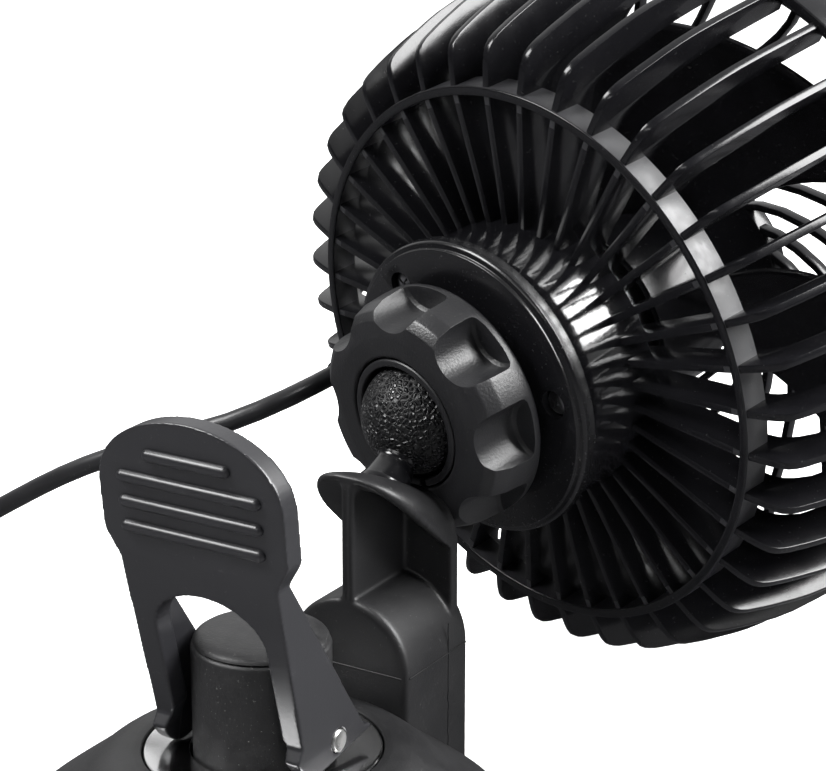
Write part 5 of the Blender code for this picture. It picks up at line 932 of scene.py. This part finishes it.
def blade():
    bm = bmesh.new()
    bmesh.ops.create_grid(bm, x_segments=28, y_segments=16, size=1.0)
    for vert in bm.verts:
        along, out = vert.co.x, (vert.co.y + 1) / 2
        radius = BLADE_ROOT + BLADE_REACH * out - 1.6 * out**4 * along**4
        span, height = 48 + 14 * out, 14 + 8 * out
        vert.co = polar(radius, BLADE_SWEEP * out**2 + span / 2 * along,
                        67 + BLADE_RAKE * out + height / 2 * along + 3 * (1 - along**2))

    def thicken(obj):
        sheet = obj.modifiers.new("wall", "SOLIDIFY")
        sheet.thickness, sheet.offset = 1.3, 0.0
    bmesh.ops.recalc_face_normals(bm, faces=bm.faces)
    thick = through_modifiers(bm, thicken)
    soften(thick, creased(thick, 60), 0.35)
    return thick


hub = spun([(1.9, 74.5), (19.7, 74.5), (21.5, 72.7), (21.5, 52), (19.7, 52), (19.7, 72.7),
            (4.8, 72.7), (4.8, 66.5), (1.9, 66.5)], 96, 0.3, ring=True)
finished("fan_rotor_piece", joined([hub, joined([blade()], around(BLADES))]), HEAD, cage_abs,
         "rotor", "black_plastic", "fan_rotor")
hub_cap = spun([(0, 78.8), (4.0, 78.7), (4.9, 78.2), (5.2, 77.4), (5.2, 74.8), (1.9, 74.8),
                (1.9, 77.3), (0, 77.3)], 64, 0.15)
finished("hub_cap_piece", hub_cap, HEAD, disc_abs, "rotor", "black_plastic", "hub_cap")
can = spun([(1.9, 64.8), (5.6, 64.8), (5.6, 62), (16.3, 62), (17.5, 60.8), (17.5, 23.8),
            (16.3, 23.8), (16.3, 60.8), (3.7, 60.8), (3.7, 63.6), (1.9, 63.6)], 96, 0.35, ring=True)
finished("motor_can_piece", can, HEAD, can_steel, "head", "steel", "motor_can")

# %% [markdown]
# ## The cord's relief, the plug and the tie
# The relief is a short tapered sleeve with two grooves, of the same soft vinyl as the cord. The
# plug is a lighter-socket plug: a grip, a nose ring, a sprung pin and two side contacts. It lies
# out of the picture, so its plain solids stay.

# %% Relief
relief = spun([(0, 24), (3.2, 24), (3.2, 20.2), (4.2, 20.2), (4.2, 19.0), (3.2, 18.8), (3.1, 16.2),
               (2.6, 15.9), (2.6, 15.1), (3.0, 14.8), (2.9, 12.9), (2.45, 12.6), (2.45, 11.9),
               (2.75, 11.6), (2.65, 9.3), (0, 9.3)], 48, 0.12)
finished("cord_relief_piece", moved(relief, outlet), HEAD, relief_vinyl, "head", "rubber",
         "cord_relief")

# %% [markdown]
# The parts inside the motor, the socket and the plug, the springs and the tie hardly show, and
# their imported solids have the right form. They stay as they are, and each gets the finish of its
# real material.

# %% Solids that stay, with their finishes
STAYS = ((grip_acetal, "ball_liner"), (disc_abs, "ball_socket motor_endcap plug_body"),
         (spring_steel, "return_spring plug_spring"), (can_steel, "armature_core plug_fuse"),
         (ferrite, "magnet_1 magnet_2 brush_1 brush_2"), (pin_steel, "motor_shaft"),
         (turned_copper, "bushing_rear bushing_front commutator"), (cage_abs, "plug_nose"),
         (screw_steel, "motor_screw_1 motor_screw_2"), (relief_vinyl, "plug_relief"),
         (plug_nickel, "plug_pin plug_contact_1 plug_contact_2"), (cup_rubber, "coil_tie"))
for finish, names in STAYS:
    for name in names.split():
        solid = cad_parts[name]
        solid.data.materials.clear()
        solid.data.materials.append(finish)
    print("kept with", finish.name + ":", names)

# %% [markdown]
# ## The stage
# The photograph is a studio picture on white. Camera rays see white. Glossy rays see the white
# paper wall behind the object and a dark room on the camera's side, because the disc's polished
# face is nearly black while the washer shows white.

# %% World
world = bpy.data.worlds.new("studio")
bpy.context.scene.world = world
world.use_nodes = True
wt = world.node_tree
white = wt.nodes["Background"]
white.inputs["Color"].default_value = (1, 1, 1, 1)
ray = add_node(wt, "LightPath")
way = add_node(wt, "SeparateXYZ", {0: add_node(wt, "TexCoord").outputs["Generated"]})
behind = ranged(wt, way.outputs["Y"], -0.15, 0.35, 0.03, 1.0)
raised = ranged(wt, way.outputs["Z"], 0.06, 0.22, 0.10, 1.0)
both_ways = add_node(wt, "Math", {0: behind, 1: raised}, operation="MULTIPLY")
paper_wall = add_node(wt, "Background", {"Color": (1, 1, 1, 1),
                                         "Strength": both_ways.outputs["Value"]})
room = add_node(wt, "Background", {"Color": linear("#b4b4b6"), "Strength": 0.15})
glossy = add_node(wt, "Math", {0: ray.outputs["Is Glossy Ray"],
                               1: ray.outputs["Is Transmission Ray"]}, operation="MAXIMUM")
lit = add_node(wt, "MixShader", {0: glossy.outputs["Value"], 1: room.outputs["Background"],
                                 2: paper_wall.outputs["Background"]})
seen = add_node(wt, "MixShader", {0: ray.outputs["Is Camera Ray"], 1: lit.outputs["Shader"],
                                  2: white.outputs["Background"]})
wt.links.new(seen.outputs["Shader"], wt.nodes["World Output"].inputs["Surface"])

# %% [markdown]
# The floor is white paper. The camera sees it almost as white as the wall behind, with the
# object's soft shadow kept. For glossy rays its colour is painted dark grey, a painted shade, so
# the polished parts see dark paper under the object.

# %% Floor
JUST_UNDER = -0.0004
floor_bm = bmesh.new()
bmesh.ops.create_grid(floor_bm, x_segments=2, y_segments=2, size=3.0)
floor = linked("studio_floor", mesh_from("studio_floor", floor_bm))
floor.location.z = JUST_UNDER
paper, tree, shader = new_finish("white_backdrop_paper")
shader.inputs["Roughness"].default_value = 0.9
light_path = add_node(tree, "LightPath")
# Painted shade: glossy rays see the paper dark grey (#505052) instead of near white.
shade = mixed(tree, light_path.outputs["Is Glossy Ray"], linear("#f2f2f2"), linear("#505052"))
tree.links.new(shade, shader.inputs["Base Color"])
glow = add_node(tree, "Emission", {"Color": (1, 1, 1, 1), "Strength": 0.9})
seen_glow = add_node(tree, "MixShader", {0: light_path.outputs["Is Camera Ray"],
                                         2: glow.outputs["Emission"]})
both = add_node(tree, "AddShader", {0: shader.outputs["BSDF"], 1: seen_glow.outputs["Shader"]})
tree.links.new(both.outputs["Shader"], tree.nodes["Material Output"].inputs["Surface"])
floor.data.materials.append(paper)

# %% [markdown]
# Area lamps of real sizes give soft-edged highlights: a large window on the right, a smaller one
# high on the left, and a faint strip in front that lifts the lever and the nut.

# %% Lamps
def soft_box(name, place, target, width, height, watts):
    data = bpy.data.lights.new(name, "AREA")
    data.shape, data.size, data.size_y, data.energy = "RECTANGLE", width, height, watts
    lamp = linked(name, data)
    lamp.location = place
    lamp.rotation_euler = (Vector(target) - Vector(place)).to_track_quat("-Z", "Y").to_euler()
    return lamp


lamps = [soft_box("window_right", (0.62, 0.34, 0.66), (0, 0.05, 0.08), 0.50, 0.60, 26.0),
         soft_box("window_top_left", (-0.45, -0.35, 0.75), (0, 0.02, 0.06), 0.40, 0.40, 12.0),
         soft_box("strip_front", (0.10, -0.80, 0.75), (0, 0.0, 0.06), 0.6, 0.12, 1.5)]
print("lamps", [lamp.name for lamp in lamps])
